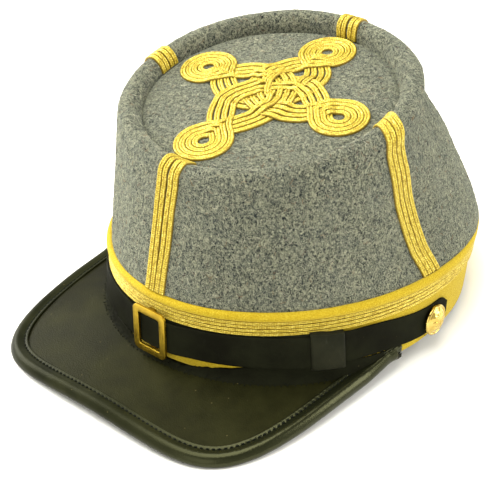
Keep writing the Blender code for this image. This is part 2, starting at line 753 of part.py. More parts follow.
def add_buckle():
    """The brass slide: a flat frame, with a bar behind that the outer strap passes over."""
    outside = rounded_rectangle(BUCKLE_WIDTH, BUCKLE_HEIGHT, BUCKLE_CORNER)
    window = (BUCKLE_WIDTH - 2 * BUCKLE_RAIL, BUCKLE_HEIGHT - 2 * BUCKLE_RAIL, BUCKLE_CORNER * 0.3)
    mesh = flat_curve("buckle", BUCKLE_THICKNESS, [outside, rounded_rectangle(*window)])
    piece = add_piece("buckle", mesh, "brass", 30)
    plane = outer_strap(BUCKLE_ANGLE) + STRAP_THICKNESS + GAP + BUCKLE_THICKNESS / 2
    piece.location = band_oval(BUCKLE_ANGLE, plane, strap_middle(BUCKLE_ANGLE) - STRAP_SHIFT / 2)
    facing = outward_at(BUCKLE_ANGLE)
    piece.rotation_euler = (pi / 2, 0, atan2(facing.x, -facing.y))
    bevel = piece.modifiers.new("edges", "BEVEL")
    bevel.width = BUCKLE_CHAMFER
    bevel.segments = 1
    bevel.limit_method = "ANGLE"
    bevel.angle_limit = radians(60)
    bar_back = inner_strap(BUCKLE_ANGLE) + STRAP_THICKNESS + GAP - plane
    bar_front = bar_back + SLIDE_BAR_THICKNESS
    bar = box("slide_bar", SLIDE_BAR_WIDTH, BUCKLE_HEIGHT - LUG_HEIGHT, bar_back, bar_front)
    join(piece, add_cutter(bar, piece), "UNION")
    for name, side in (("upper_lug", 1), ("lower_lug", -1)):
        place = side * (BUCKLE_HEIGHT / 2 - GAP - LUG_HEIGHT / 2)
        lug = box(name, SLIDE_BAR_WIDTH * 0.96, LUG_HEIGHT, bar_back + GAP, 0, place)
        join(piece, add_cutter(lug, piece), "UNION")


def add_button(name, angle):
    """A domed button, turned from its profile, on the end of the strap."""
    mesh = bpy.data.meshes.new(name)
    points = [(share * BUTTON_RADIUS, 0, height) for share, height in BUTTON_PROFILE]
    mesh.from_pydata(points, [(i, i + 1) for i in range(len(points) - 1)], [])
    piece = add_piece(name, mesh, "brass", 30)
    screw = piece.modifiers.new("turning", "SCREW")
    screw.steps = screw.render_steps = BUTTON_STEPS
    screw.use_merge_vertices = True
    screw.merge_threshold = 0.00001
    outward = outer_strap(angle) if angle < 0 else inner_strap(angle)
    piece.location = band_oval(angle, outward + STRAP_THICKNESS + GAP, strap_middle(angle))
    piece.rotation_euler = outward_at(angle).to_track_quat("Z", "Y").to_euler()


def clear_scene():
    for piece in list(bpy.data.objects):
        bpy.data.objects.remove(piece)


def add_collection(name):
    made = bpy.data.collections.new(name)
    bpy.context.scene.collection.children.link(made)
    return made


def add_stand():
    """The empty that all pieces hang on."""
    empty = bpy.data.objects.new("kepi_stand", None)
    collection.objects.link(empty)
    empty.rotation_mode = "ZYX"
    return empty


def set_down():
    """Turns the visor to the front, tips the hat back until it rests, and centres it on the table."""
    straight = Matrix.Rotation(-VISOR_TURN, 3, "Z")
    back = straight @ band_oval(180, 0, 0)
    visor_feet = [straight @ point for section in binding_sections() for point in section]
    tilt = max(atan2(back.z - foot.z, back.y - foot.y) for foot in visor_feet)
    stand.rotation_euler = (-tilt, 0, -VISOR_TURN)
    bpy.context.view_layer.update()
    graph = bpy.context.evaluated_depsgraph_get()
    corners = []
    for piece in collection.objects:
        if piece.type == "MESH":
            solid = piece.evaluated_get(graph)
            corners += [solid.matrix_world @ vertex.co for vertex in solid.data.vertices]
    low = Vector([min(corner[axis] for corner in corners) for axis in range(3)])
    high = Vector([max(corner[axis] for corner in corners) for axis in range(3)])
    stand.location = (-(low.x + high.x) / 2, -(low.y + high.y) / 2, -low.z)


clear_scene()
collection = add_collection("kepi")
cutters = add_collection("kepi_cutters")
materials = {name: make_material(name) for name in MATERIALS}
stand = add_stand()

add_crown_side()
add_crown_top()
add_band()
add_band_braid()
for braid in WALL_BRAIDS:
    add_wall_braid(*braid)
add_top_knot()
add_visor()
add_visor_binding()
add_strap("chin_strap_left", STRAP_END_ANGLE, -STRAP_OVERLAP_ANGLE, inner_strap, 0)
add_strap("chin_strap_right", -STRAP_END_ANGLE, STRAP_OVERLAP_ANGLE, outer_strap, -STRAP_SHIFT)
add_keeper()
add_buckle()
add_button("button_left", BUTTON_ANGLE)
add_button("button_right", -BUTTON_ANGLE)
set_down()
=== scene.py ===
"""The looks of an officer's kepi: grey wool, yellow felt, gold flat braid, leather and brass.

Units are metres and degrees. Shapes are worked out in the hat's own frame: +X is the wearer's left,
-Y the front and z = 0 the lower edge of the band, and angles run round from the front towards the
wearer's left. STAND then puts each piece where the hat rests.
"""

import random

import bmesh
import bpy
import numpy as np
from mathutils import Matrix, Vector, noise
from numpy import (
    arange, arctan2, array, clip, concatenate, cos, diff, exp, floor, hypot, interp, linspace, maximum,
    minimum, pi, radians, roll, sin, sqrt, stack, zeros,
)


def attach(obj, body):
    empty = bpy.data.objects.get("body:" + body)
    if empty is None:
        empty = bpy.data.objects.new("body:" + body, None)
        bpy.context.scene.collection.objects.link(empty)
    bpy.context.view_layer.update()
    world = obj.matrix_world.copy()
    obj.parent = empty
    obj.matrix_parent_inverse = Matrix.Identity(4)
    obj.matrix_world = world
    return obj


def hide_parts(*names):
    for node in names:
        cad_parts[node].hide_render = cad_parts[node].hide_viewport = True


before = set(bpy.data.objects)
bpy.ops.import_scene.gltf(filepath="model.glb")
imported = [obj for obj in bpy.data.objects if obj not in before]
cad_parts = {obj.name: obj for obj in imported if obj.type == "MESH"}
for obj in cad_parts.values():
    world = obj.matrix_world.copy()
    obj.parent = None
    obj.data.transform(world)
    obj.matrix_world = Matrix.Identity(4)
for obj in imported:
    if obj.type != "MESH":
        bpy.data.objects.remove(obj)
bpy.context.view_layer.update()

# Where the hat rests: its band's frame, turned so that the visor points ahead and tipped back.
STAND_PLACE = (0.000706, 0.018817, 0.007846)
STAND_TILT = radians(4.5323)
STAND_TURN = radians(1.0)
STAND = (
    Matrix.Translation(STAND_PLACE)
    @ Matrix.Rotation(-STAND_TILT, 4, "X")
    @ Matrix.Rotation(STAND_TURN, 4, "Z")
)

# The camera, in the hat's own frame.
CAMERA_AZIMUTH = radians(40.934)
CAMERA_ELEVATION = radians(29.517)
CAMERA_ROLL = radians(-0.206)
CAMERA_DISTANCE = 0.6621
CAMERA_TARGET = (0.000275, -0.032443, 0.033504)
CAMERA_SENSOR = 36.0
CAMERA_LENS = 95.06

# The band and its ovals.
BAND_FOOT_HALF_DEPTH = 0.0993
BAND_FOOT_HALF_WIDTH = 0.0890
BAND_TOP_HALF_DEPTH = 0.0990
BAND_TOP_HALF_WIDTH = 0.0884
BACK_FULLNESS = 0.055  # by how much the band's top is wider behind, and narrower in front
BAND_HEIGHT = 0.0364
BAND_LEAN = (  # angle, at its foot, at its top
    (0, 0, 0), (70, 0, 0.0002), (122, -0.0007, 0.0011), (147, -0.0004, 0.0034), (172, 0, 0.0006),
    (240, 0, 0), (310, -0.0002, -0.0004),
)
BAND_PROFILE = (  # outward, height
    (-0.0016, 0.0004), (-0.0013, 0), (-0.0004, 0), (-0.0001, 0.0003), (0, 0.001), (0, 0.006),
    (0, 0.012), (0, 0.018), (0, 0.0225), (0, 0.027), (0.0001, 0.0296), (0.0008, 0.0298),
    (0.0014, 0.0303), (0.0018, 0.0311), (0.0019, 0.032), (0.0017, 0.0329), (0.0013, 0.0336),
    (0.0006, 0.0341), (-0.0002, 0.0343), (-0.001, 0.0341), (-0.0016, 0.0336), (-0.0016, 0.028),
    (-0.0016, 0.014),
)
WELT_HEIGHT = 0.0297  # where the welt starts
WELT_FULLNESS = (  # angle, how much further the welt stands out
    (0, 0), (90, 0.0002), (240, 0.0002), (290, 0.0008), (318, 0.0008), (345, 0.0001),
)
FOOT_DROP = (  # angle, how far the band's foot hangs down
    (0, 0), (52, 0.0002), (68, 0.0012), (80, 0.0011), (95, 0),
)
BAND_COLUMNS = 480
BAND_WAVES = ((0.016, 0.00022), (0.005, 0.00010), (0.0016, 0.00006))  # wavelength, height

# The crown's wall and roll, and its sunken top.
RIM_TILT = radians(11.4)
RIM_CENTRE = (0.0, -0.0180, 0.1075)
TOP_HALF_DEPTH = 0.0608
TOP_HALF_WIDTH = 0.0637
TOP_THICKNESS = 0.0020
TOP_SAG = (  # angle, how far the wool of the sunken top hangs down at its edge
    (0, 0.0021), (45, 0.0025), (90, 0.0021), (135, 0.0006), (180, 0), (225, 0.0002), (270, 0.0009),
    (315, 0.0015),
)
TOP_SAG_FADE = 0.08  # beyond the edge of the top, as a share of its half width
ROLL_WIDTH = 0.0119
ROLL_RISE_FRONT = 0.0037
ROLL_RISE_BACK = 0.0083
ROLL_DIP = (  # angle, how far the roll's crest dips
    (0, 0.0022), (4, 0.0023), (11, 0.0013), (20, 0.0002), (32, 0.0003), (58, -0.0014),
    (74, -0.0011), (92, 0), (340, -0.0004), (353, 0.001),
)
ROLL_INNER_SHARE = 0.42  # of its width that lies inside the crest
ROLL_SHOULDER = 0.0072  # how far it falls from the crest to the wall
WALL_FOOT_INSET = 0.0003
WALL_FOOT_LEVEL = -0.035  # down behind the welt
CROWN_FOOT = (  # outward, height: the wool behind the band
    (-0.0022, 0.0), (-0.0022, 0.0160), (-0.0022, 0.0300), (-0.0010, 0.0332),
)
WOOL_THICKNESS = 0.0022
WALL_FOLDS = (  # angle, low, middle, high
    (0, 0.0002, 0, 0.0002), (40, 0, 0.0004, 0.0006), (68, -0.0014, -0.0012, 0.0002),
    (90, -0.0046, -0.0044, -0.0016), (108, -0.001, -0.0024, -0.0034), (128, 0.002, 0.0006, -0.0066),
    (152, -0.0004, 0.001, -0.0016), (180, -0.001, 0, 0.0002), (225, -0.0006, -0.0008, -0.0002),
    (270, -0.0012, -0.001, 0), (312, 0.0002, 0, 0.0003),
)
FOLD_LEVELS = (0.18, 0.50, 0.86)
FOLD_REACH = 0.34  # of a fold, above and below its level
ROLL_FULLNESS = (  # angle, extra width
    (0, -0.0004), (60, 0.0002), (105, 0.0006), (128, 0.0008), (150, 0.0008), (180, -0.0004),
    (205, 0.0006), (270, -0.0002), (310, 0.0002),
)
CROWN_COLUMNS = 360
WALL_ROWS = 56
ROLL_ROWS = 16
ROLL_BLEND = 8  # rounds of smoothing where the wall runs into the roll
ROLL_BLEND_ROWS = (46, 64)  # which rows are smoothed
CROWN_WAVES = (  # wavelength, height
    (0.034, 0.0005), (0.011, 0.00018), (0.004, 0.00007),
)
TOP_RINGS = 30
TOP_COLUMNS = 180
TOP_EDGE_DROP = 0.0012  # where the wool turns under at its edge
TOP_WAVES = (  # wavelength, height
    (0.03, 0.00022), (0.008, 0.0001), (0.0035, 0.00005),
)

# Braid: strands of two lobes, wound with metal thread.
STRANDS = 4
STRAND_SECTION = (  # across as a share of half the width, up as a share of the height
    (-0.98, 0.06), (-0.96, 0.4), (-0.82, 0.8), (-0.55, 1.0), (-0.27, 0.9), (-0.08, 0.64),
    (0.08, 0.64), (0.27, 0.9), (0.55, 1.0), (0.82, 0.8), (0.96, 0.4), (0.98, 0.06), (0, 0),
)
STRAND_HEIGHT = 0.00125
THREAD_PITCH = 0.00110  # along the strand, for one turn of the winding
THREAD_RELIEF = 0.05  # how far the wound thread stands out, as a share of the strand's height
THREAD_SWELL = 0.025  # the same, to the sides
THREAD_SLANT = 0.55  # turns by which the winding runs ahead from the middle to the edge
BRAID_STEP = 0.00042
BAND_BRAID_LOW = 0.0226
BAND_BRAID_HIGH = 0.0300
BAND_BRAID_OUT = 0.0002
BAND_STRAND_SHARE = 0.96  # of the pitch that is a strand's width
BAND_BRAID_WANDER = ((0.03, 0.00012),)  # wavelength, height
WALL_BRAID_WIDTH_LOW = 0.0124
WALL_BRAID_WIDTH_HIGH = 0.0128
WALL_BRAID_OUT = 0.0001
WALL_STRAND_SHARE = 0.97
WALL_BRAID_WANDER = ((0.012, 0.00016),)
# The levels of the crown between which a braid's angle changes in equal steps.
WALL_BRAID_LEVELS = (0.04, 0.16, 0.34, 0.54, 0.73, 0.88, 1.0, 1.31, 1.67, 2.0, 2.39, 3.0)
WALL_BRAIDS = (  # name, angle at the band, angle at the sunken top, how far it bows aside, middle gap
    ("front", -0.6, 0, 0, 0.0007), ("left", 89.4, 95.0, -4.4, 0.0002),
    ("back", 180.0, 178.5, 0, 0.0009), ("right", 271.3, 273.0, 0, 0.0004),
)

# The knot: four loops, and a length of ribbon that bows from each to the next.
KNOT_LOOP_RADIUS = 0.0088  # to the middle of the ribbon
KNOT_NECK = 0.0110  # from a loop's middle to where its two lengths meet
KNOT_LOOPS = (  # loop, angle of its middle counted from +X, distance from the knot's middle
    ("left", 2.0, 0.0415), ("back", 87.8, 0.0443), ("right", 172.9, 0.0443),
    ("front", 266.8, 0.045),
)
HALF_LOOP_ANGLES = (0, 32, 64, 96, 132)
# The middle line of each length of ribbon from one loop's neck to the next, in millimetres.
KNOT_BOWS = (
    ((27.6, -3.2), (23.5, -6.0), (18.9, -7.9), (10.9, -9.4), (3.0, -8.6), (-4.1, -4.6), (-8.7, 2.0),
     (-10.6, 9.0), (-10.8, 15.5), (-8.8, 21.5), (-5.2, 27.5)),
    ((5.0, 31.0), (8.9, 27.4), (11.4, 23.1), (12.5, 17.0), (12.3, 10.5), (10.6, 4.5), (7.0, -1.5),
     (2.0, -6.3), (-4.5, -9.2), (-10.5, -9.8), (-16.1, -8.7), (-21.5, -6.4), (-27.5, -1.8)),
    ((-28.2, 8.3), (-22.0, 12.9), (-15.5, 15.0), (-8.5, 14.9), (-2.3, 12.6), (3.5, 8.0), (7.5, 2.0),
     (9.6, -5.0), (9.4, -12.0), (7.3, -19.0), (4.0, -25.5), (1.0, -30.0)),
    ((-5.4, -29.5), (-9.4, -24.6), (-13.4, -17.9), (-15.0, -12.4), (-13.8, -6.5), (-10.8, -1.0),
     (-6.6, 5.0), (-1.5, 9.8), (4.5, 12.7), (11.0, 13.2), (16.9, 11.7), (21.7, 8.6), (26.0, 5.0)),
)
KNOT_PITCH = 0.0030  # from one strand of the ribbon to the next
KNOT_OPENING = 0.19  # by how much the strands' pitch grows between the loops
KNOT_OPENING_START = 0.011  # away from a loop's middle
KNOT_OPENING_FADE = 0.010
KNOT_STRAND_WIDTH = 0.0031
KNOT_BED = 0.0001  # between the wool and the lowest strands
KNOT_CLEARANCE = 0.00090  # between two strands that cross
KNOT_LIFT = 0.0024  # the most that a strand is lifted
KNOT_SINK = 0.000004  # by how much every strand falls in each round
KNOT_WANDER = ((0.012, 0.00022),)
KNOT_ROUNDS = 160
# Where two lengths of ribbon cross. In the middle, the first one's inner strands pass over the
# whole of the second, and its other strands only over the second's outer strands. At a loop's
# neck, further out, the strand that goes round the outside of the loop passes over the other.
KNOT_NECK_REACH = 0.0250
KNOT_CROSSINGS = (  # x, y, first, second, inner strands of the first, outer strands of the second
    (0.0305, 0.0011, "left", "front", 0, 0), (0.0013, 0.0333, "left", "back", 0, 0),
    (-0.033, 0.0041, "right", "back", 0, 0), (-0.0019, -0.034, "front", "right", 0, 0),
    (-0.0095, 0, "left", "front", 1, 0), (0, -0.008, "left", "back", 4, 4),
    (0.0095, 0, "right", "back", 4, 4), (0, 0.0115, "front", "right", 2, 0),
    (0.0125, 0.013, "front", "back", 2, 2), (-0.014, -0.0095, "front", "back", 4, 4),
    (0.0096, -0.0096, "right", "left", 2, 0), (-0.01, 0.015, "left", "right", 2, 2),
)

# The visor and its binding.
VISOR_TURN = -1.0
VISOR_SIDE_SHIFT = -0.0043
VISOR_HALF_WIDTH = 0.0893
VISOR_END_FLARE = 0.0050
VISOR_REACH = 0.1398
VISOR_SQUARENESS = 4.9  # the power of its rounded outline; 2 would be an oval
VISOR_SLOPE = 0.27
VISOR_SLOPE_START = 0.0030
VISOR_THICKNESS = 0.0022
VISOR_TUCK = 0.0034  # how far it reaches in under the band
VISOR_END_BACK = 0.0215  # how far in front of the middle its ends lie
VISOR_END_ROOM = 0.0026  # between the band and the visor's edge at the ends
VISOR_END_RISE = 0.0042  # by which the ends ride up the band
VISOR_RISE_START = -0.050
VISOR_RISE_LENGTH = 0.030
VISOR_COLUMNS = 260
VISOR_ROWS = 26
VISOR_GAP = 0.0003
VISOR_INSET = 0.0014  # of its leather, inside the binding
VISOR_WAVES = ((0.045, 0.00035), (0.012, 0.00006))
BINDING_REACH = 0.0092
BINDING_CLEARANCE = 0.0003
BINDING_LEAST_ROOM = 0.0012
BINDING_BEND = 0.0024  # the length over which it turns up
BINDING_WAVES = ((0.02, 0.00018), (0.006, 0.00008))
BINDING_PROFILE = (  # out from the visor's edge as a share of its width, up from the visor's face
    (-1.0, 0.0002), (-1.0, 0.0006), (-0.98, 0.0009), (-0.93, 0.001), (-0.87, 0.0009),
    (-0.82, 0.0008), (-0.785, 0.0006), (-0.75, 0.0008), (-0.7, 0.001), (-0.62, 0.0014),
    (-0.52, 0.0018), (-0.41, 0.0021), (-0.3, 0.0021), (-0.2, 0.0018), (-0.11, 0.0011),
    (-0.035, 0.0001), (0, -0.0011), (-0.03, -0.0023), (-0.11, -0.0031), (-0.22, -0.0035),
    (-0.5, -0.0034), (-0.76, -0.0032), (-0.9, -0.0033), (-1.0, -0.003), (-1.0, -0.0024),
    (-0.5, -0.0023), (-0.14, -0.0022), (-0.1, -0.001), (-0.14, 0.0001), (-0.5, 0.0002),
)
BINDING_CLIMB = 0.0030  # how much of its width stands up against the band at the ends
BINDING_TILT = radians(78)  # how steeply it stands up there
BINDING_END_LENGTH = 0.0042  # of the cut ends, where the roll is pared away
BINDING_END_STEP = 0.0018  # how far they are set back
BINDING_SEAM = 0.785  # where its stitches lie, as a share of its width
STITCH_PITCH = 0.0027
STITCH_LENGTH = 0.0018
STITCH_RADIUS = 0.00034
STITCH_HEIGHTS = (0.00068, -0.0033)  # over the visor's face, on its upper and lower side
STITCH_PULL = 0.00012  # by how much each stitch draws the leather down

# The ragged edge of the seam between visor and band, and its stitches.
SEAM_EDGE = (  # angle, height
    (0, 0.0006), (8, 0.001), (12, 0.0016), (18, 0.0034), (24, 0.0051), (30, 0.0067), (34, 0.0079),
    (54, 0.008), (58, 0.0076), (61, 0.0071), (67, 0.0064), (73, 0.0061), (78, 0.0045),
    (120, 0.0004), (270, 0.001), (316, 0.0034), (344, 0.0036), (350, 0.0016),
)
SEAM_EDGE_SECTION = (  # outward, share of the height
    (0, -0.2), (0.0032, -0.12), (0.0029, -0.01), (0.0021, 0.12), (0.0014, 0.38), (0.001, 0.7),
    (0.0008, 0.94), (0.0005, 1.0), (0, 0.98),
)
SEAM_WAVES = ((0.0050, 0.0007), (0.0017, 0.0006))
SEAM_STITCH_OUT = 0.0034
SEAM_STITCH_ANGLE = 1.7  # between two stitches
SEAM_LOOSE_ENDS = (-36, -33, -30, -27, -24, -20, -17, -13, 5, 9, 14, 18, 23, 31, 40, 52)

# The chin strap, its keeper, slide and buttons.
GAP = 0.0001  # between faces that lie on each other
STRAP_THICKNESS = 0.0011
STRAP_ROUTE = (  # angle, height of its middle, width
    (0, 0.0143, 0.016), (25, 0.015, 0.0163), (45, 0.0148, 0.0164), (62, 0.0134, 0.016),
    (90, 0.0098, 0.0149), (110, 0.0098, 0.0149),
)
STRAP_SECTION = (  # outward as a share of the thickness, up as a share of half the width
    (0, -0.96), (0.1, -1.0), (0.8, -1.0), (1.0, -0.955), (1.04, -0.88), (1.0, -0.7), (1.0, -0.35),
    (1.0, 0), (1.0, 0.35), (1.0, 0.7), (1.04, 0.88), (1.0, 0.955), (0.8, 1.0), (0.1, 1.0),
    (0, 0.96), (0, 0.5), (0, -0.5),
)
STRAP_WAVES = ((0.022, 0.00014), (0.007, 0.00004))
STRAP_SHIFT = 0.0008
STRAP_END_ANGLE = 97.5
STRAP_OVERLAP_ANGLE = 55.5
KEEPER_ANGLES = (48.5, 58.0)
KEEPER_THICKNESS = 0.0010
KEEPER_MARGIN = 0.0010
LIFT_START = 1.5  # beyond the keeper, where the strap starts to come down to the band
LIFT_FADE = 14.0
BUCKLE_ANGLE = -0.8
BUCKLE_WIDTH = 0.0210
BUCKLE_HEIGHT = 0.0250
BUCKLE_CORNER = 0.0030
BUCKLE_WINDOW_CORNER = 0.0012
BUCKLE_RAIL = 0.0037
BUCKLE_THICKNESS = 0.0014
BUCKLE_ROUNDING = 0.0004
SLIDE_BAR_WIDTH = 0.0040
SLIDE_BAR_THICKNESS = 0.0010
SLIDE_BAR_HEIGHT = 0.0220
SLIDE_CORNER = 0.0004
SLIDE_LUG_HEIGHT = 0.0020
SLIDE_LUG_PLACE = 0.0109  # over and under its middle
SLIDE_LIFT_ANGLE = 7.0
SLIDE_LIFT_FADE = 8.0
BUTTON_ANGLE = 90.0
BUTTON_DROP = 0.0010  # from the middle of the strap
BUTTON_RADIUS = 0.0080
BUTTON_PROFILE = (  # radius as a share of the button's, height
    (0, 0.0046), (0.2, 0.0045), (0.4, 0.0041), (0.6, 0.0034), (0.76, 0.0026), (0.84, 0.0021),
    (0.87, 0.0021), (0.91, 0.0024), (0.95, 0.0023), (0.99, 0.0018), (1.0, 0.0014), (0.98, 0.0007),
    (0.9, 0.0002), (0, 0),
)
BUTTON_SIDES = 96
PETALS = 8
FLUTES = 40

# Loose fibres of the wool.
FIBRE_RINGS = 6
FIBRE_LENGTHS = (0.0016, 0.0042)
FIBRE_LIFT = 0.00028  # of its middle
FIBRE_SINK = 0.00006  # of its ends, into the wool
PALE_FIBRES = 5200
DARK_FIBRES = 3000
FIBRE_THICKNESS = 0.00013
FIBRES_ON_SIDE = 0.76  # the share of them that lies on the wall and the roll
FIBRES_ON_WALL = 0.74  # the share of these that lies on the wall

# Colours, dark to light, each at its place on a ramp.
WOOL_TONES = (
    (0.41, (0.004, 0.006, 0.008)), (0.47, (0.030, 0.035, 0.030)), (0.52, (0.106, 0.114, 0.080)),
    (0.57, (0.290, 0.294, 0.200)),
)
FELT_TONES = ((0.30, (0.30, 0.190, 0.004)), (0.50, (0.47, 0.330, 0.012)), (0.70, (0.62, 0.490, 0.050)))
# The gold's light end is painted highlight and glints, its dark end painted shade between the threads.
GOLD_TONES = (
    (0.38, (0.200, 0.120, 0.004)), (0.46, (0.440, 0.310, 0.015)), (0.54, (0.640, 0.490, 0.045)),
    (0.64, (0.920, 0.820, 0.220)),
)
WOOL_CURL = (0.0032, 0.0032, 0.0032)  # how far its texture is bent
WOOL_FIBRE_TURNS = (  # the ways in which its fibres run, as turns of their texture
    (1.4, 0.0, 0.6), (0.9, 0.8, 0.2), (1.5, 0.2, 2.1), (0.5, 0.3, 0.0), (1.2, 0.4, 1.3),
)
GLOSSY_SPAN_SPECULAR = 0.30
LEATHERS = (  # name, light, dark, roughness, specular, grain, its depth, scuffs, which on the keeper are partly painted highlight, where it turns glossier and darker with painted shade
    ("visor_leather", (0.014, 0.014, 0.004), (0.004, 0.004, 0.001), 0.37, 0.065, 1500.0, 0.00024, 0.10),
    ("binding_leather", (0.018, 0.019, 0.008), (0.008, 0.009, 0.004), 0.35, 0.07, 1100.0, 0.00016, 0.12,
     (0.02, 0.075)),
    # The keeper's lighter tones and stronger scuffs are partly wear and partly painted highlight on its
    # raised loop.
    ("keeper_leather", (0.018, 0.018, 0.011), (0.006, 0.007, 0.005), 0.45, 0.08, 1900.0, 0.00030, 0.30),
    ("strap_leather", (0.012, 0.013, 0.007), (0.006, 0.006, 0.004), 0.60, 0.022, 1900.0, 0.00020, 0.10),
)

# The stage.
FLOOR_SIZE = 1.1
WORLD_STRENGTH = 0.90
WORLD_TINT = (1.0, 0.985, 0.90)
WORLD_TONES = ((0.15, 1.0), (0.85, 0.35))  # height, brightness
LIT_PLACE = (0, 0, 0.05)
LIGHTS = (  # name, place, size, power, colour
    ("overhead", (-0.15, -0.10, 1.25), 1.2, 25.0, (1.0, 0.985, 0.90)),
    ("left", (-1.05, -0.15, 0.62), 0.8, 20.0, (1.0, 0.985, 0.92)),
    ("front", (0.35, -1.25, 0.60), 0.9, 5.0, (1.0, 0.985, 0.92)),
    ("right", (0.95, 0.75, 0.62), 0.8, 12.0, (1.0, 0.985, 0.92)),
)

# ---------------------------------------------------------------- shapes in the hat's frame


def ease(share):
    """A smooth step from 0 to 1."""
    share = clip(share, 0.0, 1.0)
    return share * share * (3 - 2 * share)


def between(one, other, share):
    """What lies at this share of the way from one to the other."""
    return one + (other - one) * share


def periodic(table, angle, column=1):
    """A value that eases between the rows of a table that runs once round the hat."""
    rows = array([*table, (360, *table[0][1:])], float)
    angle = np.mod(angle, 360)
    low = clip(np.searchsorted(rows[:, 0], angle, side="right") - 1, 0, len(table) - 1)
    share = (angle - rows[low, 0]) / (rows[low + 1, 0] - rows[low, 0])
    return between(rows[low, column], rows[low + 1, column], ease(share))


def points(x, y, z):
    """One array of points from three arrays that fit each other."""
    return stack(np.broadcast_arrays(x, y, z), -1)


def size_of(vectors):
    """Each vector's length."""
    return np.linalg.norm(vectors, axis=-1)


def unit(vectors):
    return vectors / maximum(size_of(vectors), 1e-12)[..., None]


def round_angles(count):
    """Even angles once round the hat."""
    return arange(count) * 360 / count


def band_oval(angle, outward, height):
    """Points beside the band: their angle, distance out from its face and height."""
    turn, share = radians(angle), np.asarray(height) / BAND_HEIGHT
    outward = outward + between(periodic(BAND_LEAN, angle, 1), periodic(BAND_LEAN, angle, 2), share)
    top_width = BAND_TOP_HALF_WIDTH * (1 - BACK_FULLNESS * cos(turn))
    half_width = between(BAND_FOOT_HALF_WIDTH, top_width, share) + outward
    half_depth = between(BAND_FOOT_HALF_DEPTH, BAND_TOP_HALF_DEPTH, share) + outward
    return points(half_width * sin(turn), -half_depth * cos(turn), height)


def band_sections(angles, rows):
    """A grid beside the band, with a row for each distance out and height."""
    return array([band_oval(angles, out, height) for out, height in rows])


def outward_at(angle):
    """The level direction that the band faces at this angle."""
    along = unit(band_oval(angle + 0.5, 0, 0) - band_oval(angle - 0.5, 0, 0))
    return points(along[..., 1], -along[..., 0], 0.0)


def on_top_plane(x, y, up):
    """Points over the sunken top, which slopes down to the front and sags towards its edge."""
    reach = hypot(x / TOP_HALF_WIDTH, y / TOP_HALF_DEPTH)
    sag = periodic(TOP_SAG, np.degrees(arctan2(x, -y))) * minimum(reach, 1) ** 2
    up = up - sag * clip(1 - (reach - 1) / TOP_SAG_FADE, 0, 1)
    level = y * cos(RIM_TILT) - up * sin(RIM_TILT)
    return array(RIM_CENTRE) + points(x, level, y * sin(RIM_TILT) + up * cos(RIM_TILT))


def rim_point(angle, outward, up):
    """Points beside the edge of the sunken top."""
    turn = radians(angle)
    facing = unit(points(sin(turn) / TOP_HALF_WIDTH, -cos(turn) / TOP_HALF_DEPTH, 0.0))
    x = TOP_HALF_WIDTH * sin(turn) + facing[..., 0] * outward
    return on_top_plane(x, -TOP_HALF_DEPTH * cos(turn) + facing[..., 1] * outward, up)


def crown_point(angle, level):
    """The crown's outer face: up the wall from 0, up to the roll's crest from 1, down inside from 2."""
    width = ROLL_WIDTH + periodic(ROLL_FULLNESS, angle)
    rise = between(ROLL_RISE_FRONT, ROLL_RISE_BACK, (1 - cos(radians(angle))) / 2)
    rise = rise - periodic(ROLL_DIP, angle)
    crest = width * ROLL_INNER_SHARE
    turn = radians(90 * (level - 2) if level >= 2 else 90 * (2 - max(level, 1)))
    if level >= 2:
        return rim_point(angle, crest * (1 - sin(turn)), rise * cos(turn))
    drop = ROLL_SHOULDER * (1 - cos(turn))
    place = rim_point(angle, crest + (width - crest) * sin(turn), rise - drop)
    if level >= 1:
        return place
    folds = 0.0
    for column, middle in enumerate(FOLD_LEVELS, 1):
        share = cos(min(1.0, abs(level - middle) / FOLD_REACH) * pi / 2) ** 2
        folds = folds + periodic(WALL_FOLDS, angle, column) * share
    low = band_oval(angle, -WALL_FOOT_INSET, BAND_HEIGHT)
    return between(low, place, level) + outward_at(angle) * folds[:, None]


def grid_normals(grid):
    """The way that a grid's points face: rows run up it, columns run once round."""
    return unit(np.cross(roll(grid, -1, axis=1) - roll(grid, 1, axis=1), np.gradient(grid, axis=0)))


def waves(places, table, seed):
    """Soft unevenness at each place: the sum of noise at several wavelengths."""
    shift = Vector((seed * 7.3, seed * 3.1, seed * 5.7))
    flat = places.reshape(-1, 3)
    moved = zeros(len(flat))
    for wavelength, height in table:
        moved += [height * noise.noise(Vector(place) / wavelength + shift) for place in flat]
    return moved.reshape(places.shape[:-1])


def make_crown_grid():
    """The crown's outer face as a grid, a column for each degree."""
    grid = array([crown_point(CROWN_ANGLES, level) for level in CROWN_LEVELS])
    first, last = ROLL_BLEND_ROWS
    for _ in range(ROLL_BLEND):
        around = grid[first - 1 : last - 1] + grid[first + 1 : last + 1]
        grid[first:last] = (around + 2 * grid[first:last]) / 4
    return grid + grid_normals(grid) * waves(grid, CROWN_WAVES, 1)[..., None]


CROWN_ANGLES = round_angles(CROWN_COLUMNS)
CROWN_LEVELS = concatenate([
    linspace(WALL_FOOT_LEVEL, 1, WALL_ROWS, endpoint=False),
    linspace(1, 2, ROLL_ROWS, endpoint=False),
    linspace(2, 3, ROLL_ROWS),
])
CROWN = make_crown_grid()
CROWN_FACING = grid_normals(CROWN)


